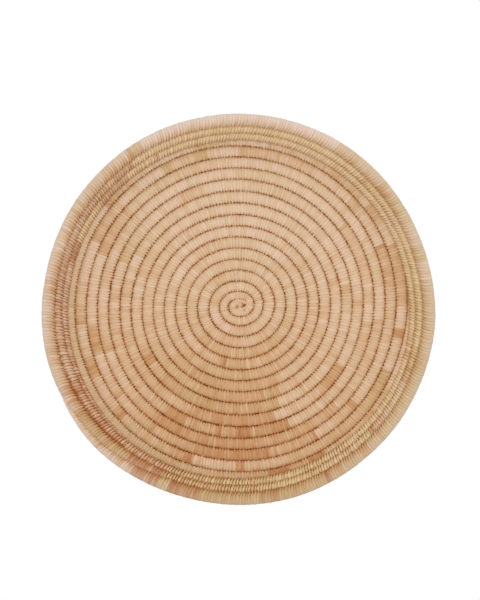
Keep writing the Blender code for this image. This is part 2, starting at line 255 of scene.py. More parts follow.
# Where the leaf turns darkest and reddest, and how much more it does so there: on the floor, on the
# wall, and in the painted shade between the wraps of the floor's last turn
FLOOR_LEAN = (math.radians(264), 0.40)
WALL_LEAN = (math.radians(232), 0.40)
LAST_FLOOR_TURN_LEAN = (math.radians(310), 0.6)
# How fast this falls off to the sides, how pale the far side is, from which radius on it is full,
# and the most that it reaches outside that
LEAN_FALL_OFF = 1.4
FAR_SIDE_SHARE = 0.4
FULL_LEAN_RADIUS = 0.12
MOST_LEAN = 1.1
# How dark the strokes between wraps are, which paint shade and rust into the grooves: as usual, how
# much more on the darker side, and how much less there on the rim
FLOOR_STROKES = (1.0, 0.25)
WALL_STROKES = (0.8, 0.55, 0.35)
# How dark the wall's seams are, with their painted shade and rust: as usual, how much more on the
# darker side and on the tail
WALL_SEAMS = (0.8, 0.2, 1.4)
# Strength of the painted shade and rust on the floor's outer side: turns, then shares
FLOOR_OUTER_SHADE_AND_STAINS = ((12.9, 13.0, 14.0, 14.08), (1.0, 0.75, 0.75, 0.3))

# Seeds of the random draws: for the counts of wraps, the strips and the single wraps, and what is
# added to a run's number for its own draws
FLOOR_SEEDS = (31, 11, 12, 0)
WALL_SEEDS = (32, 23, 24, 100)
# Seed for how strong each wrap's painted shade, rust and highlight are
SHADE_AND_STAIN_SEED = 500
KNOT_SEED = 5

# Strips that stand out in the photograph, laid end to end in stretches: ring of the floor or round
# of the wall, angle in degrees where the stretch starts, and for each strip the angle where it
# ends, its tone at both ends and its greenness, all three in hundredths
FLOOR_STRIPS_SEEN = (
    (14, 0, ((20, 36, 40, 10), (21.5, 60, 60, 0), (30, 6, 12, 10), (37.4, 34, 42, 15),
        (41.5, 2, 2, 40), (62.4, 38, 30, 15), (67.6, 6, 6, 50), (79, 20, 26, 10), (93.5, 2, 8, 10),
        (106, 14, 18, 60), (119.7, 0, 6, 5), (131, 4, 20, 15), (143, 30, 48, 15), (151, 2, 6, 20),
        (172, 8, 12, 25), (238, 14, 22, 45), (268, 26, 36, 35), (279.6, 38, 46, 20),
        (287, 80, 86, 0), (294, 46, 52, 5), (300.5, 86, 80, 0), (330, 30, 34, 25),
        (345, 10, 16, 10))),
    (13, 7, ((21, 34, 40, 0),)),
    (13, 37, ((43, 26, 34, 0),)),
    (13, 44, ((61, 5, 15, 0), (76, 18, 25, 10), (90, 32, 36, 10), (101, 4, 10, 0),
        (106, 34, 34, 60), (116, 15, 15, 20), (119, 34, 34, 60), (137, 0, 8, 0))),
    (13, 150, ((156, 30, 50, 0), (171, 2, 10, 0))),
    (13, 200, ((206.6, 47, 65, 0), (220, 11, 28, 5), (223.7, 48, 78, 0), (245, 25, 42, 25),
        (253.5, 54, 67, 0), (269, 15, 25, 0), (271.9, 56, 66, 0), (287, 24, 34, 10),
        (321, 33, 39, 20), (336, 40, 44, 40), (349, 12, 20, 18), (352, 69, 69, 15),
        (360, 1, 6, 0))),
    (12, 62, ((106, 2, 16, 0),)),
    (12, 138, ((150, 24, 34, 0), (160, 34, 52, 0), (188, 2, 20, 0), (196, 40, 66, 0))),
    (12, 200, ((217, 11, 33, 0), (233, 26, 46, 0), (236, 60, 76, 0), (252.6, 34, 52, 10),
        (282, 66, 76, 0), (299, 39, 49, 5), (301, 63, 73, 0), (317.7, 12, 32, 10),
        (320.7, 55, 69, 0), (360, 10, 20, 18))),
    (11, 13, ((37, 24, 32, 0),)),
    (11, 200, ((217.5, 10, 26, 0), (233, 28, 42, 10), (245.6, 59, 71, 0), (280, 55, 61, 0),
        (315, 49, 41, 0), (352.7, 26, 26, 18))),
    (10, 106, ((117, 20, 28, 0),)),
    (10, 118, ((140, 2, 14, 0),)),
    (10, 200, ((235, 25, 39, 10), (245.6, 61, 79, 0), (260, 37, 53, 10), (262.6, 73, 83, 0),
        (268, 45, 55, 5), (275.4, 82, 90, 0), (292.3, 60, 74, 0), (345, 12, 26, 18),
        (352.7, 28, 34, 0), (360, 0, 2, 0))),
    (9, 200, ((229, 30, 40, 10), (244, 30, 40, 10), (252.6, 54, 66, 5), (280, 55, 61, 0),
        (287.4, 58, 64, 0), (314.2, 13, 25, 10), (329, 45, 53, 0), (360, 12, 16, 18))),
    (8, 292.7, ((333.5, 11, 21, 18),)),
    (8, 335.6, ((360, 9, 13, 18),)),
    (7, 296, ((330, 20, 24, 10), (360, 11, 11, 18))),
    (6, 300, ((340, 24, 28, 12),)),
    (4, 254, ((258, 60, 80, 0),)),
)
WALL_STRIPS_SEEN = (
    (0, 0, ((7, 37, 41, 36), (12, 7, 7, 61), (20, 12, 16, 40), (31, 0, 4, 33), (58, 17, 21, 30),
        (62, 8, 8, 33), (79, 0, 2, 32), (87, 0, 0, 32), (103, 0, 0, 32), (105, 24, 24, 60),
        (118, 0, 5, 32), (120, 42, 42, 32), (130, 16, 24, 35), (143, 46, 56, 0), (158, 19, 25, 32),
        (165, 84, 89, 0), (192, 34, 42, 0), (206, 59, 69, 0), (246, 55, 61, 0))),
    (1, 0, ((20, 13, 17, 50), (31, 0, 4, 33), (45, 23, 29, 31), (49, 35, 35, 15), (77, 8, 6, 43),
        (87, 17, 17, 66), (97, 0, 0, 32), (100, 27, 27, 75), (127, 0, 4, 32), (133, 57, 51, 0),
        (142, 44, 52, 10), (151, 45, 49, 0), (164, 33, 37, 1), (174, 54, 50, 0), (193, 30, 36, 0),
        (204, 9, 17, 10), (211, 62, 56, 0), (246, 50, 44, 10), (268, 42, 44, 39), (300, 40, 42, 46),
        (344, 11, 17, 37), (353, 44, 40, 25), (360, 11, 15, 47))),
    (2, 0, ((9, 21, 23, 59), (14.4, 1, 5, 19), (20, 29, 31, 43), (26.4, 11, 13, 22),
        (37.4, 29, 31, 56), (41.5, 45, 45, 16), (59, 17, 13, 39), (121.4, 0, 1, 0),
        (126, 44, 38, 45), (133, 25, 29, 10), (151, 30, 36, 18), (157, 32, 30, 9),
        (163, 19, 21, 13), (176, 45, 37, 0), (193, 29, 31, 5), (204, 32, 40, 18), (212, 61, 67, 0),
        (229, 64, 64, 35), (234.4, 50, 50, 57), (246, 78, 82, 4), (277, 60, 56, 39),
        (298, 37, 37, 51), (306, 12, 14, 40), (310.4, 35, 35, 26), (317.3, 6, 10, 36),
        (319, 84, 84, 6), (326, 37, 23, 7), (337, 4, 8, 18), (348, 53, 47, 30), (360, 14, 16, 51))),
    (3, 207, ((237.4, 22, 34, 0), (245.4, 76, 78, 5), (249.3, 30, 34, 66), (259, 90, 83, 13),
        (277, 67, 65, 82), (283.4, 74, 82, 48), (298, 63, 61, 62), (299.6, 80, 80, 11),
        (306, 51, 39, 31), (310.6, 31, 31, 55), (313.5, 52, 52, 15), (344, 24, 28, 55),
        (350, 26, 26, 55), (360, 14, 18, 40))),
)

# Places of things seen in the photograph, in its pixels
PHOTO_SIZE = (480, 600)
DISK_CENTRE_PX = (238.0, 305.3)
DISK_SPAN_PX = 392.0
# The stage: where the lamp stands, how wide the floor is, and plain white
KEY_LAMP_PLACE = (0.3, -2.1, -0.1)
GROUND_WIDTH = 3.0
WHITE = (1.0, 1.0, 1.0, 1.0)


class DiskSizes(bpy.types.PropertyGroup):
    """Sizes of the coils and of the leaf strips"""

    floor_bundle: bpy.props.FloatProperty(
        name="Floor bundle", description="Width of the rib bundle inside the floor coil",
        default=0.00726, min=0.002, unit="LENGTH",
    )
    first_bundle: bpy.props.FloatProperty(
        name="First bundle", description="Width of the rib bundle where the floor coil starts",
        default=0.00449, min=0.002, unit="LENGTH",
    )
    wall_bundle: bpy.props.FloatProperty(
        name="Wall bundle", description="Width of the rib bundle inside the wall coil",
        default=0.00821, min=0.002, unit="LENGTH",
    )
    wrapping: bpy.props.FloatProperty(
        name="Wrapping", description="Thickness of the leaf wrapping on a bundle",
        default=0.0006, min=0.0001, unit="LENGTH",
    )
    bundle_slack: bpy.props.FloatProperty(
        name="Bundle slack", description="Room between a bundle and its wrapping",
        default=0.0003, min=0.0, unit="LENGTH",
    )
    turn_gap: bpy.props.FloatProperty(
        name="Turn gap", description="Room between neighbouring turns, which the stitches fill",
        default=0.00062, min=0.0, unit="LENGTH",
    )
    tip: bpy.props.FloatProperty(
        name="Tip", description="Width of a coil at its thin ends",
        default=0.0018, min=0.0005, unit="LENGTH",
    )
    bundle_end: bpy.props.FloatProperty(
        name="Bundle end", description="Width of a coil where its bundle stops",
        default=0.0042, min=0.001, unit="LENGTH",
    )
    start_radius: bpy.props.FloatProperty(
        name="Start radius", description="Radius of the floor coil's middle line where it starts",
        default=0.01085, min=0.005, unit="LENGTH",
    )
    wall_step: bpy.props.FloatProperty(
        name="Wall step", description="How far each wall turn lies outside the one below",
        default=0.00725, min=0.001, unit="LENGTH",
    )
    wall_drop: bpy.props.FloatProperty(
        name="Wall drop", description="How far the wall's centre lies below the floor's",
        default=0.0033, min=0.0, unit="LENGTH",
    )
    leaf: bpy.props.FloatProperty(
        name="Leaf strip", description="Width of one leaf wrap on the outer turns",
        default=0.00305, min=0.001, unit="LENGTH",
    )
    first_leaf: bpy.props.FloatProperty(
        name="First leaf strip", description="Width of one leaf wrap on the first turns",
        default=0.0028, min=0.001, unit="LENGTH",
    )
    sway: bpy.props.FloatProperty(
        name="Sway", description="How far the coils wander from their paths",
        default=0.0003, min=0.0, unit="LENGTH",
    )
    knot_reach: bpy.props.FloatProperty(
        name="Knot reach", description="Half the length of the start knot",
        default=0.0112, min=0.004, unit="LENGTH",
    )
    knot_rise: bpy.props.FloatProperty(
        name="Knot rise", description="Half the thickness of the start knot",
        default=0.0034, min=0.001, unit="LENGTH",
    )


class LeafColours(bpy.types.PropertyGroup):
    """Colours of the dried palm leaf, and of its painted shade and painted highlights"""

    pale: bpy.props.FloatVectorProperty(
        name="Pale leaf", description="Fresh end of a leaf strip", subtype="COLOR",
        default=(0.800, 0.588, 0.424), min=0.0, max=1.0,
    )
    tan: bpy.props.FloatVectorProperty(
        name="Tan leaf", description="Most of the leaf strips", subtype="COLOR",
        default=(0.710, 0.462, 0.272), min=0.0, max=1.0,
    )
    amber: bpy.props.FloatVectorProperty(
        name="Amber leaf", description="Older part of a leaf strip", subtype="COLOR",
        default=(0.590, 0.315, 0.142), min=0.0, max=1.0,
    )
    rust: bpy.props.FloatVectorProperty(
        name="Rust leaf", description="Stained butt of a leaf strip", subtype="COLOR",
        default=(0.440, 0.155, 0.062), min=0.0, max=1.0,
    )
    olive: bpy.props.FloatVectorProperty(
        name="Olive leaf", description="Strips that dried while still green", subtype="COLOR",
        default=(0.620, 0.440, 0.195), min=0.0, max=1.0,
    )
    # Painted highlight on the crowns of the wall's wraps
    cream: bpy.props.FloatVectorProperty(
        name="Cream leaf", description="Crowns of the wall's wraps, highlit pale", subtype="COLOR",
        default=(0.880, 0.670, 0.375), min=0.0, max=1.0,
    )
    # Painted highlight on the rim's crest, over leaf that is faded pink
    crest: bpy.props.FloatVectorProperty(
        name="Highlit crest", description="Leaf on the rim's crest, bleached pink",
        subtype="COLOR", default=(0.775, 0.630, 0.555), min=0.0, max=1.0,
    )
    # Painted shade with rust, soft beside the seams; the next three colours do the same on the
    # wall, beside green leaf and towards the top, and deep in the seams
    stain_and_shade: bpy.props.FloatVectorProperty(
        name="Shade and stain", description="Soft rusty stain beside the seams", subtype="COLOR",
        default=(0.560, 0.250, 0.085), min=0.0, max=1.0,
    )
    rosy_stain_and_shade: bpy.props.FloatVectorProperty(
        name="Rosy stain", description="The same on the wall", subtype="COLOR",
        default=(0.530, 0.250, 0.120), min=0.0, max=1.0,
    )
    brown_stain_and_shade: bpy.props.FloatVectorProperty(
        name="Brown stain", description="The same beside golden leaf and towards the top",
        subtype="COLOR", default=(0.470, 0.270, 0.090), min=0.0, max=1.0,
    )
    brown_seam: bpy.props.FloatVectorProperty(
        name="Brown seam", description="The same deep in the seams", subtype="COLOR",
        default=(0.290, 0.125, 0.032), min=0.0, max=1.0,
    )
    # Painted highlight on the wall's crowns where the leaf is rosy
    rosy: bpy.props.FloatVectorProperty(
        name="Rosy", description="Highlit leaf on the wall where it is rosy", subtype="COLOR",
        default=(0.700, 0.500, 0.385), min=0.0, max=1.0,
    )
    # Painted highlight on the rim, over faded golden leaf
    gilt: bpy.props.FloatVectorProperty(
        name="Gilt", description="Highlit leaf on the rim where it is golden", subtype="COLOR",
        default=(0.665, 0.525, 0.375), min=0.0, max=1.0,
    )
    # Painted shade in rust red, deep in the seams and stitch holes
    seam: bpy.props.FloatVectorProperty(
        name="Seam", description="Stain deep in the seams and stitch holes", subtype="COLOR",
        default=(0.420, 0.115, 0.026), min=0.0, max=1.0,
    )
    rib: bpy.props.FloatVectorProperty(
        name="Rib", description="Split leaf ribs of the bundles", subtype="COLOR",
        default=(0.360, 0.240, 0.120), min=0.0, max=1.0,
    )
    ground: bpy.props.FloatVectorProperty(
        name="Ground", description="The plain pale floor of the stage", subtype="COLOR",
        default=(0.800, 0.790, 0.780), min=0.0, max=1.0,
    )


class StageSettings(bpy.types.PropertyGroup):
    """The camera and the lights"""

    distance: bpy.props.FloatProperty(
        name="Camera distance", description="Distance from the camera to the disk's back",
        default=4.0, min=1.0, unit="LENGTH",
    )
    ambient: bpy.props.FloatProperty(
        name="Ambient light", description="Strength of the white surroundings",
        default=0.92, min=0.0,
    )
    key_power: bpy.props.FloatProperty(
        name="Key light", description="Power of the large soft lamp in front",
        default=7.0, min=0.0, unit="POWER",
    )
    key_size: bpy.props.FloatProperty(
        name="Key size", description="Width of the large soft lamp",
        default=1.4, min=0.1, unit="LENGTH",
    )
    ground_drop: bpy.props.FloatProperty(
        name="Ground drop", description="Height of the disk's centre above the floor",
        default=0.45, min=0.2, unit="LENGTH",
    )


def clamp(share):
    """A share kept between 0 and 1."""
    return min(max(share, 0.0), 1.0)


def eased(share):
    return share * share * (3 - 2 * share)


def smooth(share):
    """A share that leaves 0 and reaches 1 softly."""
    return eased(clamp(share))


def nearness(angle, toward, arc):
    """1 at one angle, falling softly to 0 an arc away from it, both of these in degrees."""
    turned = (angle - math.radians(toward) + math.pi) % FULL_TURN - math.pi
    return np.cos(np.clip(turned / math.radians(arc), -1.0, 1.0) * math.pi / 2) ** 2


def coil_width(sizes, bundle):
    """Width of a wrapped coil over its bundle."""
    return (bundle + 2 * (sizes.wrapping + sizes.bundle_slack / SQUARE_FLAT)) / HEXAGON_FLAT


class FloorCoil:
    """The flat spiral of the floor, by turns counted outwards from its start."""

    def __init__(self, sizes):
        self.sizes = sizes
        self.full = coil_width(sizes, sizes.floor_bundle)
        self.first = coil_width(sizes, sizes.first_bundle)
        self.pitch = self.full + sizes.turn_gap

    def width(self, turn):
        grown = self.first + (self.full - self.first) * clamp(turn / GROWTH_TURNS)
        lead = (turn + FLOOR_LEAD_TURNS) / FLOOR_LEAD_TAPER_TURNS
        tail = (FLOOR_TURNS - turn) / FLOOR_TAIL_TAPER_TURNS
        return self.sizes.tip + (grown - self.sizes.tip) * clamp(min(lead, tail))

    def radius(self, turn):
        if turn < 0:
            beside = (self.width(turn) + self.width(turn + 1)) / 2 + self.sizes.turn_gap
            return self.radius(turn + 1) - beside
        if turn > FLOOR_TURNS - FLOOR_TAIL_TAPER_TURNS:
            beside = (self.width(turn) + self.width(turn - 1)) / 2 + self.sizes.turn_gap
            return self.radius(turn - 1) + beside
        growing = min(turn, GROWTH_TURNS)
        grown = growing**2 / (2 * GROWTH_TURNS) + max(turn - GROWTH_TURNS, 0.0)
        straight = self.sizes.start_radius + (self.first + self.sizes.turn_gap) * turn
        return straight + (self.full - self.first) * grown

    def scale(self, turn):
        """Thickness there, as a share of the full coil's."""
        return (self.width(turn) + self.sizes.turn_gap) / self.pitch

    def point(self, turn):
        """A point of the middle line, with the disk lying on its back."""
        angle = FULL_TURN * turn
        radius = self.radius(turn)
        half = self.full / 2 * HEXAGON_FLAT
        own = half * self.scale(turn)
        lifted = 0.0
        if turn > GROWTH_TURNS:
            lifted = clamp((FLOOR_TURNS - turn) / FLOOR_TAIL_TAPER_TURNS * FLOOR_TAIL_LIFT)
        height = own + (half - own) * 2 * lifted
        return (radius * math.cos(angle), radius * math.sin(angle), height)

    def line(self):
        """The turns, points and scales along the whole coil."""
        count = round((FLOOR_TURNS + FLOOR_LEAD_TURNS) * STEPS_PER_TURN)
        turns = np.linspace(-FLOOR_LEAD_TURNS, FLOOR_TURNS, count + 1)
        points = np.array([self.point(turn) for turn in turns])
        return turns, points, np.array([self.scale(turn) for turn in turns])

    def run_ends(self):
        """Turns at which one run of wrapping meets the next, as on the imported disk."""
        segments = round((FLOOR_TURNS + FLOOR_LEAD_TURNS) * BENDS_PER_TURN) - 1
        bends = [round(segments * math.sqrt(run / FLOOR_RUNS)) for run in range(1, FLOOR_RUNS)]
        inner = [(bend + 1.5) / BENDS_PER_TURN - FLOOR_LEAD_TURNS for bend in bends]
        return [-FLOOR_LEAD_TURNS] + inner + [FLOOR_TURNS]


class WallCoil:
    """The climbing coil of the wall and rim, by angles that fall as it winds clockwise."""

    def __init__(self, sizes):
        self.sizes = sizes
        self.floor = FloorCoil(sizes)
        self.full = coil_width(sizes, sizes.wall_bundle)
        self.pitch = self.full + sizes.turn_gap
        self.rise = math.sqrt(self.pitch**2 - sizes.wall_step**2)
        self.end = WALL_START_ANGLE - FULL_TURN * WALL_TURNS
        beside = (self.floor.full + self.full) / 2 + sizes.turn_gap
        self.foot_radius = self.floor.radius(FLOOR_TURNS - FLOOR_TURNS_UNDER_WALL) + beside
        self.feet = self.foot_heights()

    def width(self, angle):
        lead = (WALL_START_ANGLE - angle) / WALL_LEAD_TAPER
        tail = clamp((angle - self.end) / WALL_TAIL_TAPER) ** WALL_TAIL_BLUNTNESS
        return self.sizes.tip + (self.full - self.sizes.tip) * clamp(min(lead, tail))

    def level(self, angle):
        """How many turns the coil has climbed: 0 for the wall's first, 2 for the rim."""
        level = -1.0
        climb_start = CLIMB_START_ANGLE
        while climb_start > angle:
            level += smooth((climb_start - angle) / CLIMB_ARC)
            climb_start -= FULL_TURN
        slack = (self.full - self.width(angle)) / 2 / self.pitch
        return level + slack if angle > self.end + FULL_TURN else level - slack

    def foot_heights(self):
        """Lowest heights at which the first wall turn clears the floor, at each bend of a turn."""
        heights = np.zeros(BENDS_PER_TURN)
        under = round(FLOOR_TURNS_UNDER_WALL * BENDS_PER_TURN)
        last = round(FLOOR_TURNS * BENDS_PER_TURN)
        for place in range(last - under, last + 1):
            turn = place / BENDS_PER_TURN
            clear = (self.floor.width(turn) + self.full) / 2 + self.sizes.turn_gap
            drop = self.sizes.wall_drop * math.sin(FULL_TURN * turn)
            aside = self.foot_radius - self.floor.radius(turn) - drop
            rise = math.sqrt(max(clear**2 - aside**2, 0.0))
            low = self.floor.width(turn) / 2 * HEXAGON_FLAT + rise
            heights[place % BENDS_PER_TURN] = max(low, heights[place % BENDS_PER_TURN])
        return heights

    def point(self, angle):
        """A point of the middle line, with the disk lying on its back."""
        level = self.level(angle)
        radius = self.foot_radius + level * self.sizes.wall_step
        places = np.arange(BENDS_PER_TURN + 1)
        place = angle / FULL_TURN * BENDS_PER_TURN % BENDS_PER_TURN
        foot = float(np.interp(place, places, np.append(self.feet, self.feet[0])))
        risen = min(level, RIM_LEVEL) + TAIL_RISE_SHARE * max(level - RIM_LEVEL, 0.0)
        toward, arc, further = FOOT_SETTLED_FURTHER
        settled = FOOT_SETTLED_MM + further * nearness(angle, toward, arc)
        height = foot + risen * self.rise * SETTLED_SHARE - settled * MM
        return (radius * math.cos(angle), radius * math.sin(angle) - self.sizes.wall_drop, height)

    def scale(self, angle):
        """Thickness there, as a share of the full coil's."""
        return (self.width(angle) + self.sizes.turn_gap) / self.pitch

    def line(self):
        """The angles, points and scales along the whole coil."""
        count = round(WALL_TURNS * STEPS_PER_TURN)
        angles = np.linspace(WALL_START_ANGLE, self.end, count + 1)
        points = np.array([self.point(angle) for angle in angles])
        return angles, points, np.array([self.scale(angle) for angle in angles])

    def run_ends(self):
        """Angles at which one run of wrapping meets the next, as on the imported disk."""
        bend = FULL_TURN / BENDS_PER_TURN
        first = math.ceil(WALL_START_ANGLE / bend) * bend
        stride = FULL_TURN / (WALL_RUNS // 2)
        inner = [first - bend / 2 - stride * run for run in range(1, WALL_RUNS + RIM_RUNS + 1)]
        return [WALL_START_ANGLE] + inner + [self.end]


def stray(radius, angle):
    """How far outwards a coil lies from its true spiral, at a radius and an angle."""
    inner, outer = STRAY_RADII
    share = eased(np.clip((radius - inner) / (outer - inner), 0.0, 1.0))
    waves = (1.0, np.cos(angle), np.sin(angle), np.cos(2 * angle), np.sin(2 * angle))
    both = zip(INNER_STRAY_MM, OUTER_STRAY_MM)
    apart = [(1 - share) * one + share * other for one, other in both]
    return MM * sum(amount * wave for amount, wave in zip(apart, waves))


def wall_stray(coil, points, angle):
    """How far the wall's turns lie further outwards, and how slim they are."""
    foot, step = coil.foot_radius, coil.sizes.wall_step
    level = (np.hypot(points[:, 0], points[:, 1] + coil.sizes.wall_drop) - foot) / step
    out = np.interp(level, WALL_STRAY_LEVELS, WALL_STRAY_MM) * MM
    for toward, arc, low, high in WALL_LEANS:
        out += nearness(angle, toward, arc) * np.interp(level, (0, RIM_LEVEL), (low, high)) * MM
    return out, np.interp(level, RIM_SLIMMING_LEVELS, (1.0, RIM_SLIMNESS))


def swayed(points, scales, coil):
    """The points moved as on the hand-made disk, and the scales that keep its seams shut."""
    radius = np.hypot(points[:, 0], points[:, 1])
    angle = np.arctan2(points[:, 1], points[:, 0])
    out = stray(radius, angle)
    if isinstance(coil, WallCoil):
        further, stretch = wall_stray(coil, points, angle)
        out = out + further
    else:
        stretch = 1 + (stray(radius + MM, angle) - stray(radius - MM, angle)) / (2 * MM)
    moved = points.copy()
    moved[:, 0] += out * np.cos(angle)
    moved[:, 1] += out * np.sin(angle)
    x, y = points[:, 0] / SWAY_WAVE, points[:, 1] / SWAY_WAVE
    sway = coil.sizes.sway
    moved[:, 0] += sway * (np.sin(1.1 * y + 0.4) + 0.6 * np.sin(1.7 * x - 0.8 * y + 1.9))
    moved[:, 1] += sway * (np.sin(0.9 * x + 2.1) + 0.6 * np.sin(1.6 * y + 0.7 * x + 0.7))
    return moved, scales * stretch


def lengths_along(points):
    """Length of the line up to each of its points."""
    steps = np.linalg.norm(np.diff(points, axis=0), axis=1)
    return np.concatenate(([0.0], np.cumsum(steps)))


def select_only(thing):
    """Makes one object the only one selected, and the active one."""
    bpy.ops.object.select_all(action="DESELECT")
    thing.select_set(True)
    bpy.context.view_layer.objects.active = thing


def applied(thing, modifier):
    """Applies a modifier to the object that carries it."""
    select_only(thing)
    bpy.ops.object.modifier_apply(modifier=modifier.name)


def vertex_array(mesh):
    flat = np.empty(len(mesh.vertices) * 3, np.float32)
    mesh.vertices.foreach_get("co", flat)
    return flat.reshape(-1, 3).astype(float)


def set_vertex_array(mesh, places):
    mesh.vertices.foreach_set("co", places.astype(np.float32).ravel())
    mesh.update()


def attribute_array(mesh, name):
    values = np.empty(len(mesh.vertices), np.float32)
    mesh.attributes[name].data.foreach_get("value", values)
    return values


def set_attribute(mesh, name, domain, values):
    attribute = mesh.attributes.get(name) or mesh.attributes.new(name, "FLOAT", domain)
    attribute.data.foreach_set("value", np.asarray(values, np.float32).ravel())


def lay_leaf_uv(mesh, columns, sides, uv_of):
    """The UV map of the leaf, with no jump where the last column of a tube meets its first.

    uv_of gives x and y for a column counted round the tube, and a vertex.
    """
    while mesh.uv_layers:
        mesh.uv_layers.remove(mesh.uv_layers[0])
    layer = mesh.uv_layers.new(name="leaf")
    for face in mesh.polygons:
        corners = [mesh.loops[loop].vertex_index for loop in face.loop_indices]
        ring = [int(columns[vertex]) for vertex in corners]
        wraps_round = 0 in ring and sides - 1 in ring
        for loop, vertex, column in zip(face.loop_indices, corners, ring):
            around = sides if wraps_round and column == 0 else column
            layer.data[loop].uv = uv_of(around, vertex)


def tube_columns(one, other, sides):
    """Which column of a tube with so many sides each of its points lies on."""
    return np.round(np.arctan2(other, one) / FULL_TURN * sides).astype(int) % sides


def coil_line(name, points, scales):
    """A curve along a coil's middle line, which its wraps are laid on."""
    curve = bpy.data.curves.new(name, "CURVE")
    curve.dimensions = "3D"
    curve.twist_mode = "Z_UP"
    curve.use_path = True
    spline = curve.splines.new("POLY")
    spline.points.add(len(points) - 1)
    spline.points.foreach_set("co", np.column_stack((points, np.ones(len(points)))).ravel())
    spline.points.foreach_set("radius", scales)
    line = bpy.data.objects.new(name, curve)
    bpy.context.scene.collection.objects.link(line)
    return line


def model_wrap(name, section, grooves, spread, slant, stains_and_shade, highlight_and_bleach, axes):
    """One leaf wrap, as long as 1 along X, open at its ends, with its section in metres.

    It starts as a tube, is cut into rings across the strip, and each ring takes the section's
    shape.
    """
    sides = len(section)
    bpy.ops.object.select_all(action="DESELECT")
    bpy.ops.mesh.primitive_cylinder_add(
        vertices=sides, radius=1.0, depth=1.0, end_fill_type="NOTHING",
        location=(0.5, 0.0, 0.0), rotation=(0.0, math.radians(90), 0.0),
    )
    wrap = bpy.context.active_object
    wrap.name = name
    bpy.ops.object.transform_apply(location=True, rotation=True, scale=True)
    bpy.ops.object.mode_set(mode="EDIT")
    for share in RING_SHARES[1:-1]:
        bpy.ops.mesh.select_all(action="SELECT")
        bpy.ops.mesh.bisect(plane_co=(share, 0.0, 0.0), plane_no=(1.0, 0.0, 0.0))
    bpy.ops.object.mode_set(mode="OBJECT")
    mesh = wrap.data
    places = vertex_array(mesh)
    columns = tube_columns(places[:, 1], places[:, 2], sides)
    across = places[:, 0].copy()
    edge = (across < RING_SHARES[1] / 2) | (across > 1 - RING_SHARES[1] / 2)
    shape = np.array(section)[columns] * (1 - edge * np.array(grooves)[columns])[:, None]
    kept = np.where(edge, 1.0, np.array(spread)[columns])
    places[:, 0] = 0.5 + (across - 0.5) * kept + np.array(slant)[columns]
    places[:, 1:] = shape @ np.array(axes)
    set_vertex_array(mesh, places)
    set_attribute(mesh, "column", "POINT", columns)
    set_attribute(mesh, "across", "POINT", across)
    # Painted shade with rust, darkest in the seams, grooves and stitch holes
    crown_shade_and_stain, groove_shade_and_stain = (np.array(stain_and_shade)[columns] for stain_and_shade in stains_and_shade)
    beside = (crown_shade_and_stain + groove_shade_and_stain) / 2
    stain_and_shade = np.where(edge, groove_shade_and_stain, np.where(np.abs(across - 0.5) < 0.1, crown_shade_and_stain, beside))
    set_attribute(mesh, "crease", "POINT", stain_and_shade)
    # Painted highlight on the crowns, on the rim over faded leaf
    shown = np.where(edge, GROOVE_HIGHLIGHT_AND_BLEACH_SHARE, 1.0) * np.array(highlight_and_bleach)[columns]
    set_attribute(mesh, "highlight_and_bleach", "POINT", shown)
    lay_leaf_uv(mesh, columns, sides, lambda around, vertex: (across[vertex], around / sides))
    return wrap


def wrap_middles(plan, lengths, turns, points):
    """The middle of each wrap, in turns along the coil and in place."""
    along = np.concatenate([
        start + (np.arange(count) + 0.5) * (end - start) / count for (start, end), count in plan
    ])
    places = np.column_stack([np.interp(along, lengths, axis) for axis in points.T])
    return np.interp(along, lengths, turns), places


def leaf_strips(places, seed, base, greenness, lean, outward):
    """Tone and greenness of each wrap: strips start pale and redden until the next one starts.

    Where the coil winds outward, its first strips are more alike than its last.
    """
    rng = np.random.default_rng(seed)
    count = len(places)
    tones, greens = np.zeros(count), np.zeros(count)
    start = 0
    while start < count:
        length = int(rng.integers(*STRIP_WRAPS))
        strip = slice(start, min(start + length, count))
        place = np.arange(strip.stop - strip.start) / length
        vivid = 1.0
        if outward:
            wound = smooth(start / count * 1.4 - 0.2)
            vivid = FIRST_STRIPS_SHARE + (1 - FIRST_STRIPS_SHARE) * wound
        first = base + rng.normal(0.0, STRIP_TONE_SPREAD) * vivid
        reach = abs(rng.normal(0.0, STRIP_REDDENING)) * vivid
        dark = rng.random() < DARK_BUTT_CHANCE
        butt = rng.uniform(*DARK_BUTT_TONES) * vivid if dark else 0.0
        near_end = np.clip(place * DARK_BUTT_PARTS - (DARK_BUTT_PARTS - 1), 0.0, 1.0)
        tones[strip] = first + reach * (place**2 - 0.3) + butt * near_end
        greens[strip] = clamp(rng.normal(greenness, STRIP_GREEN_SPREAD))
        start += length
    return tones + tone_lean(places, lean[0]) * lean[1], greens


def with_strips_seen(tones, greens, turns, start_angle, winding, seen, unlike, seed):
    """Strips that stand out in the photograph put in their places, then each wrap's own tone."""
    for ring, low, strips in seen:
        angles = winding * (turns - ring) * 360 + start_angle
        for high, tone_low, tone_high, green in strips:
            within = (angles >= low) & (angles < high)
            ends = (tone_low / 100, tone_high / 100)
            tones[within] = np.interp(angles[within], (low, high), ends)
            greens[within] = green / 100
            low = high
    rng = np.random.default_rng(seed)
    tones = tones + rng.normal(0.0, unlike, len(tones))
    greens = greens + rng.normal(0.0, WRAP_GREEN_SPREAD, len(greens))
    return np.clip(tones, 0.0, 1.0), np.clip(greens, 0.0, 1.0)


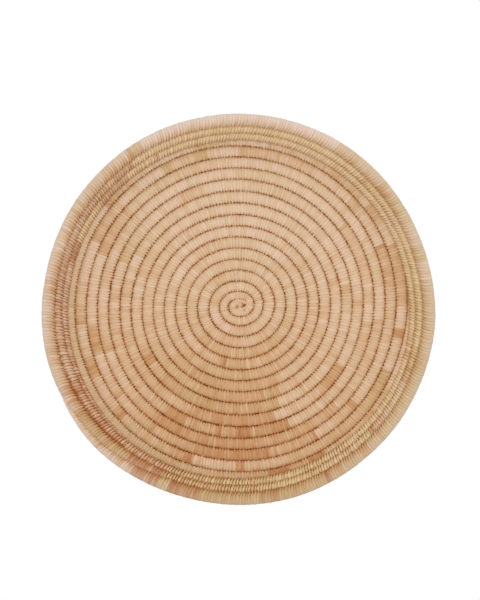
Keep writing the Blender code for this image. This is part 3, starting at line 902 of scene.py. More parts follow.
def weave_run(name, node, wrap, line, stations, looks, seed):
    """One run of wrapping: wraps chained, made uneven, laid along the line and closed."""
    start, end = stations
    tones, greens, seams, strokes, outer_shade_and_stains = looks
    count = len(tones)
    period = (end - start) / count
    run = bpy.data.objects.new(name, wrap.data.copy())
    bpy.context.scene.collection.objects.link(run)
    run.data.transform(Matrix.Diagonal((period, 1.0, 1.0, 1.0)))
    chain = run.modifiers.new("chain", "ARRAY")
    chain.count = count
    chain.use_relative_offset = False
    chain.use_constant_offset = True
    chain.constant_offset_displace = (period, 0.0, 0.0)
    chain.offset_u = 1.0
    applied(run, chain)
    make_uneven(run.data, count, period, start, seed)
    shade_and_stain_wraps(run.data, count, seams, strokes, outer_shade_and_stains, seed)
    lay = run.modifiers.new("lay", "CURVE")
    lay.object = line
    lay.deform_axis = "POS_X"
    applied(run, lay)
    faces = len(wrap.data.polygons)
    set_attribute(run.data, "tone", "FACE", np.repeat(tones, faces))
    set_attribute(run.data, "green", "FACE", np.repeat(greens, faces))
    close_run(run)
    hang(run)
    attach(run, "root")
    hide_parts(node)


def make_uneven(mesh, count, period, start, seed):
    """Hand work: grooves that wander, wraps that bulge or tilt, stitches that bite unevenly."""
    rng = np.random.default_rng(seed)
    places = vertex_array(mesh).reshape(count, -1, 3)
    across, column = (attribute_array(mesh, of).reshape(count, -1) for of in ("across", "column"))
    grooves = rng.normal(0.0, GROOVE_SWAY_SHARE * period, count + 1)
    grooves[[0, -1]] = 0.0
    places[:, :, 0] += grooves[:-1, None] * (1 - across) + grooves[1:, None] * across
    tilts = rng.normal(0.0, TILT_SWAY_SHARE * period, count + 1)
    tilts[[0, -1]] = 0.0
    tilt = tilts[:-1, None] * (1 - across) + tilts[1:, None] * across
    places[:, :, 0] += tilt * np.cos((column - CREST_POINT) / (column.max() + 1) * FULL_TURN)
    inside = (across > RING_SHARES[1] / 2) & (across < 1 - RING_SHARES[1] / 2)
    bulge = 1 + rng.normal(0.0, BULGE_SWAY_SHARE, (count, 1)) * inside
    bite = rng.normal(0.0, BITE_SWAY_SHARE, (count, 1)) * inside * np.isin(column, SEWN_POINTS)
    along = places[:, :, 0] + start
    short, long = SWELL_WAVES
    swell = 1 + SWELL_SHARE * (np.sin(along / short) * 0.5 + np.sin(along / long + 1.0) * 0.5)
    places[:, :, 1:] *= (bulge * (1 + bite) * swell)[:, :, None]
    places[:, :, 0] = along
    set_vertex_array(mesh, places.reshape(-1, 3))


def shade_and_stain_wraps(mesh, count, seams, strokes, outer_shade_and_stains, seed):
    """Painted shade with rust in the strokes between wraps and on both sides, and the painted
    highlight, stronger or weaker by the wrap.
    """
    crease, column, highlight_and_bleach = (
        attribute_array(mesh, of).reshape(count, -1) for of in ("crease", "column", "highlight_and_bleach")
    )
    rng = np.random.default_rng(SHADE_AND_STAIN_SEED + seed)
    strokes = strokes * np.exp(rng.normal(0.0, STROKE_SPREAD, count))
    for points, strengths in (
        (INNER_POINTS, seams), (OPEN_POINTS, strokes), (OUTER_POINTS, outer_shade_and_stains),
    ):
        crease *= np.where(np.isin(column, points), strengths[:, None], 1.0)
    set_attribute(mesh, "crease", "POINT", np.clip(crease, 0.0, DARKEST_CREASE))
    set_attribute(mesh, "highlight_and_bleach", "POINT", highlight_and_bleach * rng.uniform(*HIGHLIGHT_AND_BLEACH_SHARES, count)[:, None])


def tone_lean(centres, toward):
    """Leaf is darker and redder on the low side of the disk, more so further out."""
    out = np.linalg.norm(centres[:, :2], axis=1)
    facing = centres[:, 0] * math.cos(toward) + centres[:, 1] * math.sin(toward)
    facing = facing / np.maximum(out, MM)
    low = np.clip(facing, 0.0, 1.0) ** LEAN_FALL_OFF
    high = FAR_SIDE_SHARE * np.clip(-facing, 0.0, 1.0)
    return (low - high) * np.clip(out / FULL_LEAN_RADIUS, 0.0, MOST_LEAN)


def close_run(run):
    """Wraps joined where they meet, both ends closed, faces outwards."""
    select_only(run)
    bpy.ops.object.mode_set(mode="EDIT")
    bpy.ops.mesh.select_all(action="SELECT")
    bpy.ops.mesh.remove_doubles(threshold=WELD_DISTANCE)
    bpy.ops.mesh.fill_holes(sides=0)
    bpy.ops.mesh.select_all(action="SELECT")
    bpy.ops.mesh.normals_make_consistent(inside=False)
    bpy.ops.object.mode_set(mode="OBJECT")
    bpy.ops.object.shade_smooth()


def hang(piece):
    """Presses flat what would lie behind the wall's plane, and turns the piece up to hang."""
    places = vertex_array(piece.data)
    places[:, 2] = np.maximum(places[:, 2], 0.0)
    set_vertex_array(piece.data, places)
    piece.data.transform(Matrix.Rotation(math.radians(90), 4, "X"))


def new_material(name):
    """A material with its node tree and its shader."""
    material = bpy.data.materials.new(name)
    material.use_nodes = True
    tree = material.node_tree
    return material, tree, tree.nodes["Principled BSDF"]


def node_of(tree, kind, **settings):
    node = tree.nodes.new(kind)
    for key, value in settings.items():
        setattr(node, key, value)
    return node


def attribute_value(tree, name):
    return node_of(tree, "ShaderNodeAttribute", attribute_name=name).outputs["Fac"]


def scaled_noise(tree, vector, scale, detail, roughness, stretch=(1.0, 1.0, 1.0)):
    """Noise from 0 to 1, finer along an axis where the stretch is larger."""
    mapping = node_of(tree, "ShaderNodeMapping")
    mapping.inputs["Scale"].default_value = stretch
    tree.links.new(vector, mapping.inputs["Vector"])
    noise = node_of(tree, "ShaderNodeTexNoise")
    noise.inputs["Scale"].default_value = scale
    noise.inputs["Detail"].default_value = detail
    noise.inputs["Roughness"].default_value = roughness
    tree.links.new(mapping.outputs["Vector"], noise.inputs["Vector"])
    return noise.outputs["Fac"]


def ranged(tree, value, low, high, to_low, to_high, interpolation="LINEAR"):
    """The value brought from one range to another, and held at its ends."""
    node = node_of(tree, "ShaderNodeMapRange", interpolation_type=interpolation)
    sockets = ("From Min", "From Max", "To Min", "To Max")
    for socket, number in zip(sockets, (low, high, to_low, to_high)):
        node.inputs[socket].default_value = number
    tree.links.new(value, node.inputs["Value"])
    return node.outputs["Result"]


def summed(tree, one, other, operation="ADD"):
    """The sum of two values, or what another operation makes of them."""
    node = node_of(tree, "ShaderNodeMath", operation=operation)
    tree.links.new(one, node.inputs[0])
    tree.links.new(other, node.inputs[1])
    return node.outputs["Value"]


def mixed(tree, share, one, other):
    """The first colour where the share is 0, the other where it is 1."""
    node = node_of(tree, "ShaderNodeMix", data_type="RGBA")
    tree.links.new(share, node.inputs["Factor"])
    for socket, colour in zip((node.inputs[6], node.inputs[7]), (one, other)):
        if isinstance(colour, bpy.types.NodeSocket):
            tree.links.new(colour, socket)
        else:
            socket.default_value = (*colour, 1.0)
    return node.outputs[2]


def strip_colour(tree, colours, strip_tone, green, uv, place, fibre):
    """Pale to rust by the strip's tone, streaked along its fibres, and olive where it is green."""
    streak = scaled_noise(tree, uv, 1.0, 1.0, 0.5, (2.7, 1.5, 1.0))
    blotch = scaled_noise(tree, place, 90.0, 2.0, 0.5)
    tone = strip_tone
    for noise, reach in ((blotch, 0.06), (fibre, 0.07), (streak, 0.11)):
        tone = summed(tree, tone, ranged(tree, noise, 0.3, 0.7, -reach, reach))
    ramp = node_of(tree, "ShaderNodeValToRGB")
    stops = ((0.0, colours.pale), (0.34, colours.tan), (0.66, colours.amber), (1.0, colours.rust))
    ramp.color_ramp.elements[1].position = stops[-1][0]
    for position, _ in stops[1:-1]:
        ramp.color_ramp.elements.new(position)
    for element, (_, colour) in zip(ramp.color_ramp.elements, stops):
        element.color = (*colour, 1.0)
    tree.links.new(tone, ramp.inputs["Fac"])
    olive = ranged(tree, green, 0.0, 1.0, 0.0, 0.8)
    return mixed(tree, olive, ramp.outputs["Color"], colours.olive)


def seam_strength(tree, strip_tone, place):
    """How dark the painted shade in seams and stitch holes is: uneven from place to place, and
    darker on old leaf.
    """
    patchy = ranged(tree, scaled_noise(tree, place, 380.0, 1.0, 0.5), 0.3, 0.7, 0.45, 1.6)
    broad = ranged(tree, scaled_noise(tree, place, 22.0, 2.0, 0.5), 0.3, 0.7, 0.75, 1.15)
    uneven = summed(tree, patchy, broad, "MULTIPLY")
    crease = summed(tree, attribute_value(tree, "crease"), uneven, "MULTIPLY")
    return summed(tree, crease, ranged(tree, strip_tone, 0.0, 1.0, 0.85, 1.6), "MULTIPLY")


def leaf_material(name, colours, stain_and_shade_colour, bleached_and_highlit=None, highlight_and_bleach_strength=0.0, stains_and_shade=()):
    """Dried palm leaf: each strip's own tone, fibres along it, rust marks, painted highlights, and
    seams with painted shade in rusty colours.
    """
    material, tree, shader = new_material(name)
    uv = node_of(tree, "ShaderNodeUVMap", uv_map="leaf").outputs["UV"]
    place = node_of(tree, "ShaderNodeTexCoord").outputs["Object"]
    fibre = scaled_noise(tree, uv, 1.0, 3.0, 0.6, (7.0, 9.0, 1.0))
    strip_tone, green = attribute_value(tree, "tone"), attribute_value(tree, "green")
    colour = strip_colour(tree, colours, strip_tone, green, uv, place, fibre)
    # Painted highlight: the wall's crowns and the rim's crest are mixed towards pale colours, on
    # the rim over faded leaf
    if bleached_and_highlit:
        highlight_and_bleach = ranged(tree, attribute_value(tree, "highlight_and_bleach"), 0.0, 1.0, 0.0, highlight_and_bleach_strength)
        young = ranged(tree, strip_tone, 0.3, 0.9, 1.0, 0.35)
        highlight_and_bleach = summed(tree, highlight_and_bleach, young, "MULTIPLY")
        pale = mixed(tree, ranged(tree, green, 0.0, 0.3, 0.0, 1.0), *bleached_and_highlit)
        colour = mixed(tree, highlight_and_bleach, colour, pale)
    # Rust marks on the knot, and painted shade in its dimple and slit
    for oval in stains_and_shade:
        colour = mixed(tree, spot(tree, place, *oval), colour, colours.rust)
    # Painted shade in rust and brown darkens the seams, grooves and stitch holes by the crease
    # attribute; it turns browner towards the top and beside green leaf
    crease = seam_strength(tree, strip_tone, place)
    upper = node_of(tree, "ShaderNodeSeparateXYZ")
    tree.links.new(place, upper.inputs["Vector"])
    browner = summed(
        tree, ranged(tree, upper.outputs["Z"], -0.10, 0.16, 0.0, 0.6),
        ranged(tree, green, 0.0, 0.5, 0.0, 0.8), "MAXIMUM",
    )
    stain_and_shade = mixed(tree, browner, stain_and_shade_colour, colours.brown_stain_and_shade)
    seam = mixed(tree, browner, colours.seam, colours.brown_seam)
    colour = mixed(tree, ranged(tree, crease, 0.0, 0.6, 0.0, 0.75), colour, stain_and_shade)
    colour = mixed(tree, ranged(tree, crease, 0.45, 1.0, 0.0, 0.95), colour, seam)
    tree.links.new(colour, shader.inputs["Base Color"])
    tree.links.new(ranged(tree, fibre, 0.2, 0.8, 0.56, 0.74), shader.inputs["Roughness"])
    shader.inputs["Specular IOR Level"].default_value = 0.25
    bump = node_of(tree, "ShaderNodeBump")
    bump.inputs["Strength"].default_value = 0.35
    bump.inputs["Distance"].default_value = 0.0002
    tree.links.new(fibre, bump.inputs["Height"])
    tree.links.new(bump.outputs["Normal"], shader.inputs["Normal"])
    return material


def spot(tree, place, middle, length, width, tilt, strength):
    """A soft oval mark on the hung disk's front, sizes in millimetres."""
    mapping = node_of(tree, "ShaderNodeMapping", vector_type="TEXTURE")
    mapping.inputs["Location"].default_value = (middle[0] * MM, 0.0, middle[1] * MM)
    mapping.inputs["Rotation"].default_value = (0.0, -math.radians(tilt), 0.0)
    mapping.inputs["Scale"].default_value = (length * MM, 1.0, width * MM)
    tree.links.new(place, mapping.inputs["Vector"])
    reach = node_of(tree, "ShaderNodeVectorMath", operation="LENGTH")
    tree.links.new(mapping.outputs["Vector"], reach.inputs[0])
    return ranged(tree, reach.outputs["Value"], 0.35, 1.1, strength, 0.0, "SMOOTHSTEP")


def rib_material(name, colours):
    """Split leaf ribs, darker in streaks."""
    material, tree, shader = new_material(name)
    place = node_of(tree, "ShaderNodeTexCoord").outputs["Object"]
    streak = scaled_noise(tree, place, 400.0, 3.0, 0.6)
    dark = tuple(channel * 0.5 for channel in colours.rib)
    tree.links.new(mixed(tree, streak, colours.rib, dark), shader.inputs["Base Color"])
    shader.inputs["Roughness"].default_value = 0.7
    return material


def floor_wrap_unit(coil):
    """A floor wrap, flat on its back."""
    half = coil.pitch / 2
    height = coil.full / 2 * HEXAGON_FLAT
    return model_wrap(
        "floor_wrap_unit", FLOOR_SECTION_SHARES, FLOOR_GROOVE_SHARES, FLOOR_SPREAD_SHARES,
        FLOOR_SLANT_SHARES, FLOOR_SHADE_AND_STAIN_SHARES, FLOOR_HIGHLIGHT_AND_BLEACH_SHARES, ((half, 0.0), (0.0, height)),
    )


def wall_wrap_unit(coil, rim):
    """A wall wrap's section is turned so that it faces the turn below it and the hollow."""
    half = coil.pitch / 2
    out, up = coil.sizes.wall_step / coil.pitch, coil.rise / coil.pitch
    stains_and_shade, highlight_and_bleach = WALL_SHADE_AND_STAIN_SHARES, WALL_HIGHLIGHT_SHARES
    if rim:
        stains_and_shade, highlight_and_bleach = RIM_SHADE_AND_STAIN_SHARES, RIM_HIGHLIGHT_AND_BLEACH_SHARES
    return model_wrap(
        "wall_wrap_unit", WALL_SECTION_SHARES, WALL_GROOVE_SHARES, WALL_SPREAD_SHARES,
        WALL_SLANT_SHARES, stains_and_shade, highlight_and_bleach,
        ((-out * half, -up * half), (-up * half, out * half)),
    )


def knot_edge(sizes, angles):
    """How far the knot reaches from its middle at each angle."""
    places = np.arange(len(KNOT_REACH_SHARES) + 1) / len(KNOT_REACH_SHARES) * FULL_TURN
    shares = np.append(KNOT_REACH_SHARES, KNOT_REACH_SHARES[0])
    degrees = np.linspace(0, FULL_TURN, 361)
    fine = np.interp(degrees[:-1], places, shares)
    slow = np.abs(np.fft.fftfreq(360, 1 / 360)) < KNOT_EDGE_WAVES
    soft = np.real(np.fft.ifft(np.fft.fft(fine) * slow))
    return sizes.knot_reach * np.interp(angles % FULL_TURN, degrees, np.append(soft, soft[0]))


def tie_start_knot(context):
    """The start knot: leaf wound through a slit and over the curled start of the ribs."""
    sizes = context.scene.leaf_disk_sizes
    colours = context.scene.leaf_disk_colours
    stages, sides = len(KNOT_SECTION_SHARES), KNOT_WRAPS * FACES_PER_KNOT_WRAP
    bpy.ops.object.select_all(action="DESELECT")
    bpy.ops.mesh.primitive_cylinder_add(
        vertices=sides, radius=1.0, depth=stages - 1, end_fill_type="NOTHING",
        location=(0.0, 0.0, (stages - 1) / 2),
    )
    knot = bpy.context.active_object
    knot.name = "start_knot_leaf"
    bpy.ops.object.transform_apply(location=True, rotation=True, scale=True)
    bpy.ops.object.mode_set(mode="EDIT")
    for stage in range(1, stages - 1):
        bpy.ops.mesh.select_all(action="SELECT")
        bpy.ops.mesh.bisect(plane_co=(0.0, 0.0, stage), plane_no=(0.0, 0.0, 1.0))
    bpy.ops.object.mode_set(mode="OBJECT")
    mesh = knot.data
    places = vertex_array(mesh)
    rings = np.round(places[:, 2]).astype(int)
    columns = tube_columns(places[:, 0], places[:, 1], sides)
    angles = columns / sides * FULL_TURN
    groove = columns % FACES_PER_KNOT_WRAP == 0
    reach, rise = np.array(KNOT_SECTION_SHARES)[rings].T
    middle = np.array(KNOT_MIDDLE_MM) * MM
    slit = np.array(KNOT_SLIT_MM) * MM
    edge = knot_edge(sizes, angles)
    outer = np.column_stack((np.cos(angles), np.sin(angles))) * edge[:, None] + middle
    along = np.array((math.cos(KNOT_SLIT_TILT), math.sin(KNOT_SLIT_TILT)))
    half = KNOT_SLIT_HALF_LENGTH_MM * MM
    inner = slit + np.cos(angles - KNOT_SLIT_TILT)[:, None] * along * half
    depth = np.where(groove, KNOT_GROOVE_SHARE, 0.0) * np.clip(reach * 3, 0.0, 1.0)
    flat = inner + (outer - inner) * (reach * (1 - depth))[:, None]
    height = sizes.knot_rise * (1 + rise * (1 - depth))
    places = np.column_stack((flat, height))
    for (x, y), radius, low in KNOT_DIMPLES:
        away = np.hypot(flat[:, 0] - x * MM, flat[:, 1] - y * MM) / (radius * MM)
        places[:, 2] -= low * MM * np.exp(-away**2) * (rise > 0.3)
    set_vertex_array(mesh, places)
    # Painted shade with rust at the slit, in the grooves between wraps and round the knot's edge
    low_reach = np.clip(0.30 - reach, 0.0, 0.3) / 0.3
    stain_and_shade = np.where(rise > 0.1, low_reach**2, 0.0) + np.where(groove, 0.22, 0.0)
    stain_and_shade += np.clip(reach - 0.92, 0.0, 0.08) / 0.08 * 0.8
    set_attribute(mesh, "crease", "POINT", np.clip(stain_and_shade, 0.0, 1.0))
    lay_leaf_uv(
        mesh, columns, sides,
        lambda around, vertex: (around / FACES_PER_KNOT_WRAP, reach[vertex]),
    )
    usual_tone, greenness, unlike = KNOT_LEAF
    tone_of_wrap = np.random.default_rng(KNOT_SEED).normal(usual_tone, unlike, KNOT_WRAPS)
    wrap_of_face = [
        min(columns[vertex] for vertex in face.vertices) // FACES_PER_KNOT_WRAP
        for face in mesh.polygons
    ]
    set_attribute(mesh, "tone", "FACE", tone_of_wrap[wrap_of_face])
    set_attribute(mesh, "green", "FACE", np.full(len(mesh.polygons), greenness))
    mesh.materials.append(leaf_material("knot_strips", colours, colours.stain_and_shade, stains_and_shade=KNOT_RUST_AND_SHADE))
    close_run(knot)
    hang(knot)
    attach(knot, "root")
    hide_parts("centre_knot")


def rib_section(name):
    """Outline of a bundle of split ribs, 1 across."""
    curve = bpy.data.curves.new(name, "CURVE")
    curve.dimensions = "2D"
    spline = curve.splines.new("POLY")
    count = RIBS_ROUND * 3
    spline.points.add(count - 1)
    for place, point in enumerate(spline.points):
        angle = place / count * FULL_TURN
        reach = 0.5 if place % 3 else RIB_GROOVE_REACH
        point.co = (reach * math.cos(angle), reach * math.sin(angle), 0.0, 1.0)
    spline.use_cyclic_u = True
    outline = bpy.data.objects.new(name, curve)
    bpy.context.scene.collection.objects.link(outline)
    return outline


def lay_bundle(name, node, points, widths, material):
    """A bundle of ribs along a coil's middle line, closed at its ends."""
    outline = rib_section(name + "_outline")
    bundle = coil_line(name, points, widths)
    bundle.data.bevel_mode = "OBJECT"
    bundle.data.bevel_object = outline
    bundle.data.use_fill_caps = True
    select_only(bundle)
    bpy.ops.object.convert(target="MESH")
    bundle = bpy.context.active_object
    bundle.data.materials.clear()
    bundle.data.materials.append(material)
    close_run(bundle)
    hang(bundle)
    bpy.data.objects.remove(outline)
    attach(bundle, "root")
    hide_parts(node)


def lay_both_bundles(context):
    """The floor's bundle and the wall's, each as far as its coil is thick enough to hold it."""
    sizes = context.scene.leaf_disk_sizes
    material = rib_material("split_ribs", context.scene.leaf_disk_colours)
    for name, node, coil in (
        ("floor_ribs", "floor_bundle", FloorCoil(sizes)),
        ("wall_ribs", "wall_bundle", WallCoil(sizes)),
    ):
        places, points, scales = coil.line()
        points, scales = swayed(points, scales, coil)
        coiled = np.array([coil.width(place) for place in places])
        clothed = 2 * (sizes.wrapping + sizes.bundle_slack / SQUARE_FLAT)
        widths = np.maximum(coiled * HEXAGON_FLAT - clothed, THINNEST_BUNDLE)
        kept = np.flatnonzero(coiled >= sizes.bundle_end)
        kept = kept[:: STEPS_PER_TURN // BUNDLE_STEPS_PER_TURN]
        lay_bundle(name, node, points[kept], widths[kept], material)


def run_plan(stations, widths, seed):
    """For each run, its start and end along the coil and how many wraps it has."""
    spans = list(zip(stations, stations[1:]))
    uneven = np.random.default_rng(seed).uniform(*WRAP_WIDTH_SHARES, len(spans))
    return [
        (span, max(1, round((span[1] - span[0]) / (width * share))))
        for span, width, share in zip(spans, widths, uneven)
    ]


def numbered_names(kind, count):
    """Names of the pieces of one kind, each with the node that it replaces."""
    return [(f"{kind}_leaf_{run:02d}", f"{kind}_wrap_{run:02d}") for run in range(1, count + 1)]


def weave_plan(plan, names, wrap, line, looks, seed):
    """Weaves the planned runs that have names, then clears the wrap and the line away."""
    first = 0
    for run, ((span, count), pair) in enumerate(zip(plan, names), 1):
        if pair:
            name, node = pair
            weave_run(
                name, node, wrap, line, span, looks[:, first : first + count], seed + run,
            )
        first += count
    bpy.data.objects.remove(wrap)
    bpy.data.objects.remove(line)


def weave_floor_runs(context):
    """The floor's runs, whose wraps are narrower on the first six turns."""
    sizes = context.scene.leaf_disk_sizes
    colours = context.scene.leaf_disk_colours
    coil = FloorCoil(sizes)
    turns, points, scales = coil.line()
    points, scales = swayed(points, scales, coil)
    line = coil_line("floor_line", points, scales)
    ends = coil.run_ends()
    lengths = lengths_along(points)
    stations = np.interp(ends, turns, lengths)
    grown = [clamp((one + other) / 2 / LEAF_GROWTH_TURNS) for one, other in zip(ends, ends[1:])]
    widths = [sizes.first_leaf + (sizes.leaf - sizes.first_leaf) * share for share in grown]
    plan_seed, strip_seed, wrap_seed, run_seed = FLOOR_SEEDS
    plan = run_plan(stations, widths, plan_seed)
    middles, places = wrap_middles(plan, lengths, turns, points)
    tone, green, unlike = FLOOR_LEAF
    tones, greens = leaf_strips(places, strip_seed, tone, green, FLOOR_LEAN, True)
    tones, greens = with_strips_seen(
        tones, greens, middles, 0.0, 1, FLOOR_STRIPS_SEEN, unlike, wrap_seed,
    )
    # Painted shade in the grooves between wraps, darker on the low side and on the last turn
    usual, more = FLOOR_STROKES
    strokes = usual + more * tone_lean(places, FLOOR_LEAN[0])
    toward, more = LAST_FLOOR_TURN_LEAN
    strokes += (middles > LAST_FLOOR_TURN) * more * tone_lean(places, toward)
    seams = np.ones(len(middles))
    # Less painted shade on the outer side of the floor's last turns
    outer_shade_and_stains = np.interp(middles, *FLOOR_OUTER_SHADE_AND_STAINS)
    wrap = floor_wrap_unit(coil)
    wrap.data.materials.append(leaf_material("floor_strips", colours, colours.stain_and_shade))
    names = numbered_names("floor", FLOOR_RUNS)
    looks = np.array((tones, greens, seams, strokes, outer_shade_and_stains))
    weave_plan(plan, names, wrap, line, looks, run_seed)


def weave_wall_runs(context, rim):
    """The wall's runs, or the rim's and its tail's, which follow them on the same coil.

    Every wrap of the coil is planned each time, so that both sets fit one another.
    """
    sizes = context.scene.leaf_disk_sizes
    colours = context.scene.leaf_disk_colours
    coil = WallCoil(sizes)
    angles, points, scales = coil.line()
    points, scales = swayed(points, scales, coil)
    line = coil_line("wall_line", points, scales)
    lengths = lengths_along(points)
    stations = np.interp(-np.array(coil.run_ends()), -angles, lengths)
    plan_seed, strip_seed, wrap_seed, run_seed = WALL_SEEDS
    plan = run_plan(stations, [sizes.leaf] * (len(stations) - 1), plan_seed)
    wound = (WALL_START_ANGLE - angles) / FULL_TURN
    middles, places = wrap_middles(plan, lengths, wound, points)
    tone, green, unlike = WALL_LEAF
    tones, greens = leaf_strips(places, strip_seed, tone, green, WALL_LEAN, False)
    tones, greens = with_strips_seen(
        tones, greens, middles, math.degrees(WALL_START_ANGLE), -1, WALL_STRIPS_SEEN,
        unlike, wrap_seed,
    )
    # Painted shade in the grooves and seams, darker on the low side and on the tail, less in the
    # rim's grooves
    leaning = tone_lean(places, WALL_LEAN[0])
    usual, more, less_on_rim = WALL_STROKES
    strokes = usual + (more - less_on_rim * (middles > RIM_LEVEL)) * leaning
    usual, more, on_tail = WALL_SEAMS
    seams = usual + more * leaning + on_tail * (middles > RIM_LEVEL + 1)
    outer_shade_and_stains = np.ones(len(middles))
    wrap = wall_wrap_unit(coil, rim)
    # Painted highlight colours: the wall's rosy and cream, the rim's crest and gilt over faded leaf
    kind, bleached_and_highlit, highlight_and_bleach_strength = "wall", (colours.rosy, colours.cream), 0.75
    if rim:
        kind, bleached_and_highlit, highlight_and_bleach_strength = "rim", (colours.crest, colours.gilt), 0.95
    wrap.data.materials.append(
        leaf_material(f"{kind}_strips", colours, colours.rosy_stain_and_shade, bleached_and_highlit, highlight_and_bleach_strength)
    )
    names = numbered_names("wall", WALL_RUNS)
    if rim:
        tail = [("rim_tail_leaf", "rim_tail_wrap")]
        names = [None] * WALL_RUNS + numbered_names("rim", RIM_RUNS) + tail
    looks = np.array((tones, greens, seams, strokes, outer_shade_and_stains))
    weave_plan(plan, names, wrap, line, looks, run_seed)


class DISK_OT_tie_knot(bpy.types.Operator):
    """Tie the start knot in the middle of the floor"""

    bl_idname = "leaf_disk.tie_knot"
    bl_label = "Tie the Start Knot"

    def execute(self, context):
        tie_start_knot(context)
        return {"FINISHED"}


class DISK_OT_lay_bundles(bpy.types.Operator):
    """Lay the two bundles of split ribs that the coils are wound on"""

    bl_idname = "leaf_disk.lay_bundles"
    bl_label = "Lay the Rib Bundles"

    def execute(self, context):
        lay_both_bundles(context)
        return {"FINISHED"}


class DISK_OT_weave_floor(bpy.types.Operator):
    """Weave the floor: runs of leaf wraps along the flat spiral"""

    bl_idname = "leaf_disk.weave_floor"
    bl_label = "Weave the Floor"

    def execute(self, context):
        weave_floor_runs(context)
        return {"FINISHED"}


class DISK_OT_weave_wall(bpy.types.Operator):
    """Weave the wall: two turns of leaf wraps on the climbing coil"""

    bl_idname = "leaf_disk.weave_wall"
    bl_label = "Weave the Wall"

    def execute(self, context):
        weave_wall_runs(context, False)
        return {"FINISHED"}


class DISK_OT_weave_rim(bpy.types.Operator):
    """Weave the rim: the climbing coil's third turn and its thin tail"""

    bl_idname = "leaf_disk.weave_rim"
    bl_label = "Weave the Rim"

    def execute(self, context):
        weave_wall_runs(context, True)
        return {"FINISHED"}


def ground_material(name, colours):
    """Plain matt floor."""
    material, tree, shader = new_material(name)
    place = node_of(tree, "ShaderNodeTexCoord").outputs["Object"]
    fine = scaled_noise(tree, place, 6.0, 3.0, 0.5)
    shader.inputs["Base Color"].default_value = (*colours.ground, 1.0)
    tree.links.new(ranged(tree, fine, 0.0, 1.0, 0.7, 0.9), shader.inputs["Roughness"])
    return material


def white_surroundings(ambient):
    """Soft white light all round, shown as plain white to the camera."""
    world = bpy.data.worlds.new("white_surroundings")
    bpy.context.scene.world = world
    world.use_nodes = True
    tree = world.node_tree
    lit = tree.nodes["Background"]
    lit.inputs["Color"].default_value = WHITE
    lit.inputs["Strength"].default_value = ambient
    shown = node_of(tree, "ShaderNodeBackground")
    shown.inputs["Color"].default_value = WHITE
    shown.inputs["Strength"].default_value = 1.0
    rays = node_of(tree, "ShaderNodeLightPath").outputs
    seen = summed(tree, rays["Is Camera Ray"], rays["Is Glossy Ray"], "MAXIMUM")
    seen = summed(tree, seen, rays["Is Transmission Ray"], "MAXIMUM")
    mix = node_of(tree, "ShaderNodeMixShader")
    tree.links.new(seen, mix.inputs["Fac"])
    tree.links.new(lit.outputs["Background"], mix.inputs[1])
    tree.links.new(shown.outputs["Background"], mix.inputs[2])
    tree.links.new(mix.outputs["Shader"], tree.nodes["World Output"].inputs["Surface"])


def soft_lamp(name, place, power, size):
    """A large square lamp that faces the disk's centre."""
    bpy.ops.object.light_add(type="AREA", location=place)
    lamp = bpy.context.active_object
    lamp.name = name
    lamp.data.energy = power
    lamp.data.size = size
    lamp.rotation_euler = (-lamp.location).to_track_quat("-Z", "Y").to_euler()


def photo_camera(distance):
    """A long lens straight on, framed so that a pixel is as wide as on the photograph."""
    span = CAD_BOX[1].x - CAD_BOX[0].x
    pixel = span / DISK_SPAN_PX
    aside = (PHOTO_SIZE[0] / 2 - DISK_CENTRE_PX[0]) * pixel
    above = (DISK_CENTRE_PX[1] - PHOTO_SIZE[1] / 2) * pixel
    bpy.ops.object.camera_add(
        location=(aside, -distance, above), rotation=(math.radians(90), 0.0, 0.0),
    )
    camera = bpy.context.active_object
    camera.name = "photo_camera"
    front = distance + CAD_BOX[0].y
    camera.data.lens = camera.data.sensor_width * front / (PHOTO_SIZE[1] * pixel)
    camera.data.clip_end = distance * 4
    bpy.context.scene.camera = camera


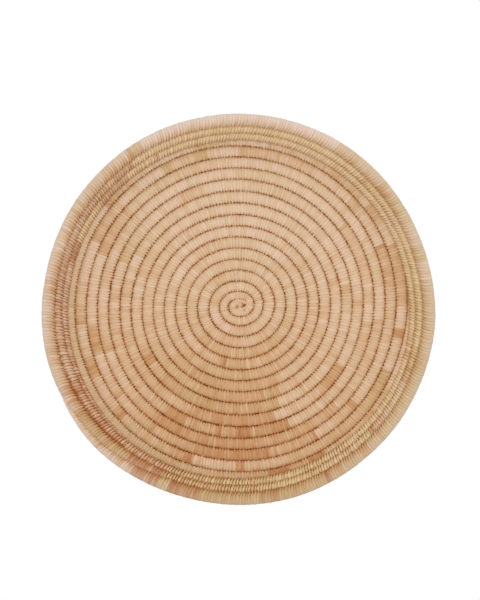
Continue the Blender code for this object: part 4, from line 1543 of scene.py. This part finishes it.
class DISK_OT_set_stage(bpy.types.Operator):
    """Set the stage: pale floor, white surroundings, soft lamp and camera"""

    bl_idname = "leaf_disk.set_stage"
    bl_label = "Set the Stage"

    def execute(self, context):
        stage = context.scene.leaf_disk_stage
        bpy.ops.object.select_all(action="DESELECT")
        bpy.ops.mesh.primitive_plane_add(
            size=GROUND_WIDTH, location=(0.0, 0.0, -stage.ground_drop),
        )
        ground = context.active_object
        ground.name = "ground"
        bpy.ops.object.transform_apply(location=True)
        ground.data.materials.append(ground_material("ground", context.scene.leaf_disk_colours))
        white_surroundings(stage.ambient)
        soft_lamp("key_lamp", KEY_LAMP_PLACE, stage.key_power, stage.key_size)
        photo_camera(stage.distance)
        context.scene.view_settings.view_transform = "Standard"
        return {"FINISHED"}


class DISK_PT_panel(bpy.types.Panel):
    """The disk's sizes, colours and steps"""

    bl_idname = "DISK_PT_panel"
    bl_label = "Palm Leaf Disk"
    bl_space_type = "VIEW_3D"
    bl_region_type = "UI"
    bl_category = "Leaf Disk"

    def draw(self, context):
        for title, group in (
            ("Sizes", context.scene.leaf_disk_sizes),
            ("Colours", context.scene.leaf_disk_colours),
            ("Stage", context.scene.leaf_disk_stage),
        ):
            box = self.layout.box()
            box.label(text=title)
            for setting in group.__annotations__:
                box.prop(group, setting)
        for step in STEPS:
            self.layout.operator(step.bl_idname)


GROUPS = {
    "leaf_disk_sizes": DiskSizes,
    "leaf_disk_colours": LeafColours,
    "leaf_disk_stage": StageSettings,
}
STEPS = (
    DISK_OT_tie_knot,
    DISK_OT_lay_bundles,
    DISK_OT_weave_floor,
    DISK_OT_weave_wall,
    DISK_OT_weave_rim,
    DISK_OT_set_stage,
)


def register():
    for group in (*GROUPS.values(), *STEPS, DISK_PT_panel):
        bpy.utils.register_class(group)
    for name, group in GROUPS.items():
        setattr(bpy.types.Scene, name, bpy.props.PointerProperty(type=group))


def unregister():
    for name in GROUPS:
        delattr(bpy.types.Scene, name)
    for group in reversed((*GROUPS.values(), *STEPS, DISK_PT_panel)):
        bpy.utils.unregister_class(group)


def main():
    register()
    bpy.ops.leaf_disk.tie_knot()
    bpy.ops.leaf_disk.lay_bundles()
    bpy.ops.leaf_disk.weave_floor()
    bpy.ops.leaf_disk.weave_wall()
    bpy.ops.leaf_disk.weave_rim()
    bpy.ops.leaf_disk.set_stage()


if __name__ == "__main__":
    main()
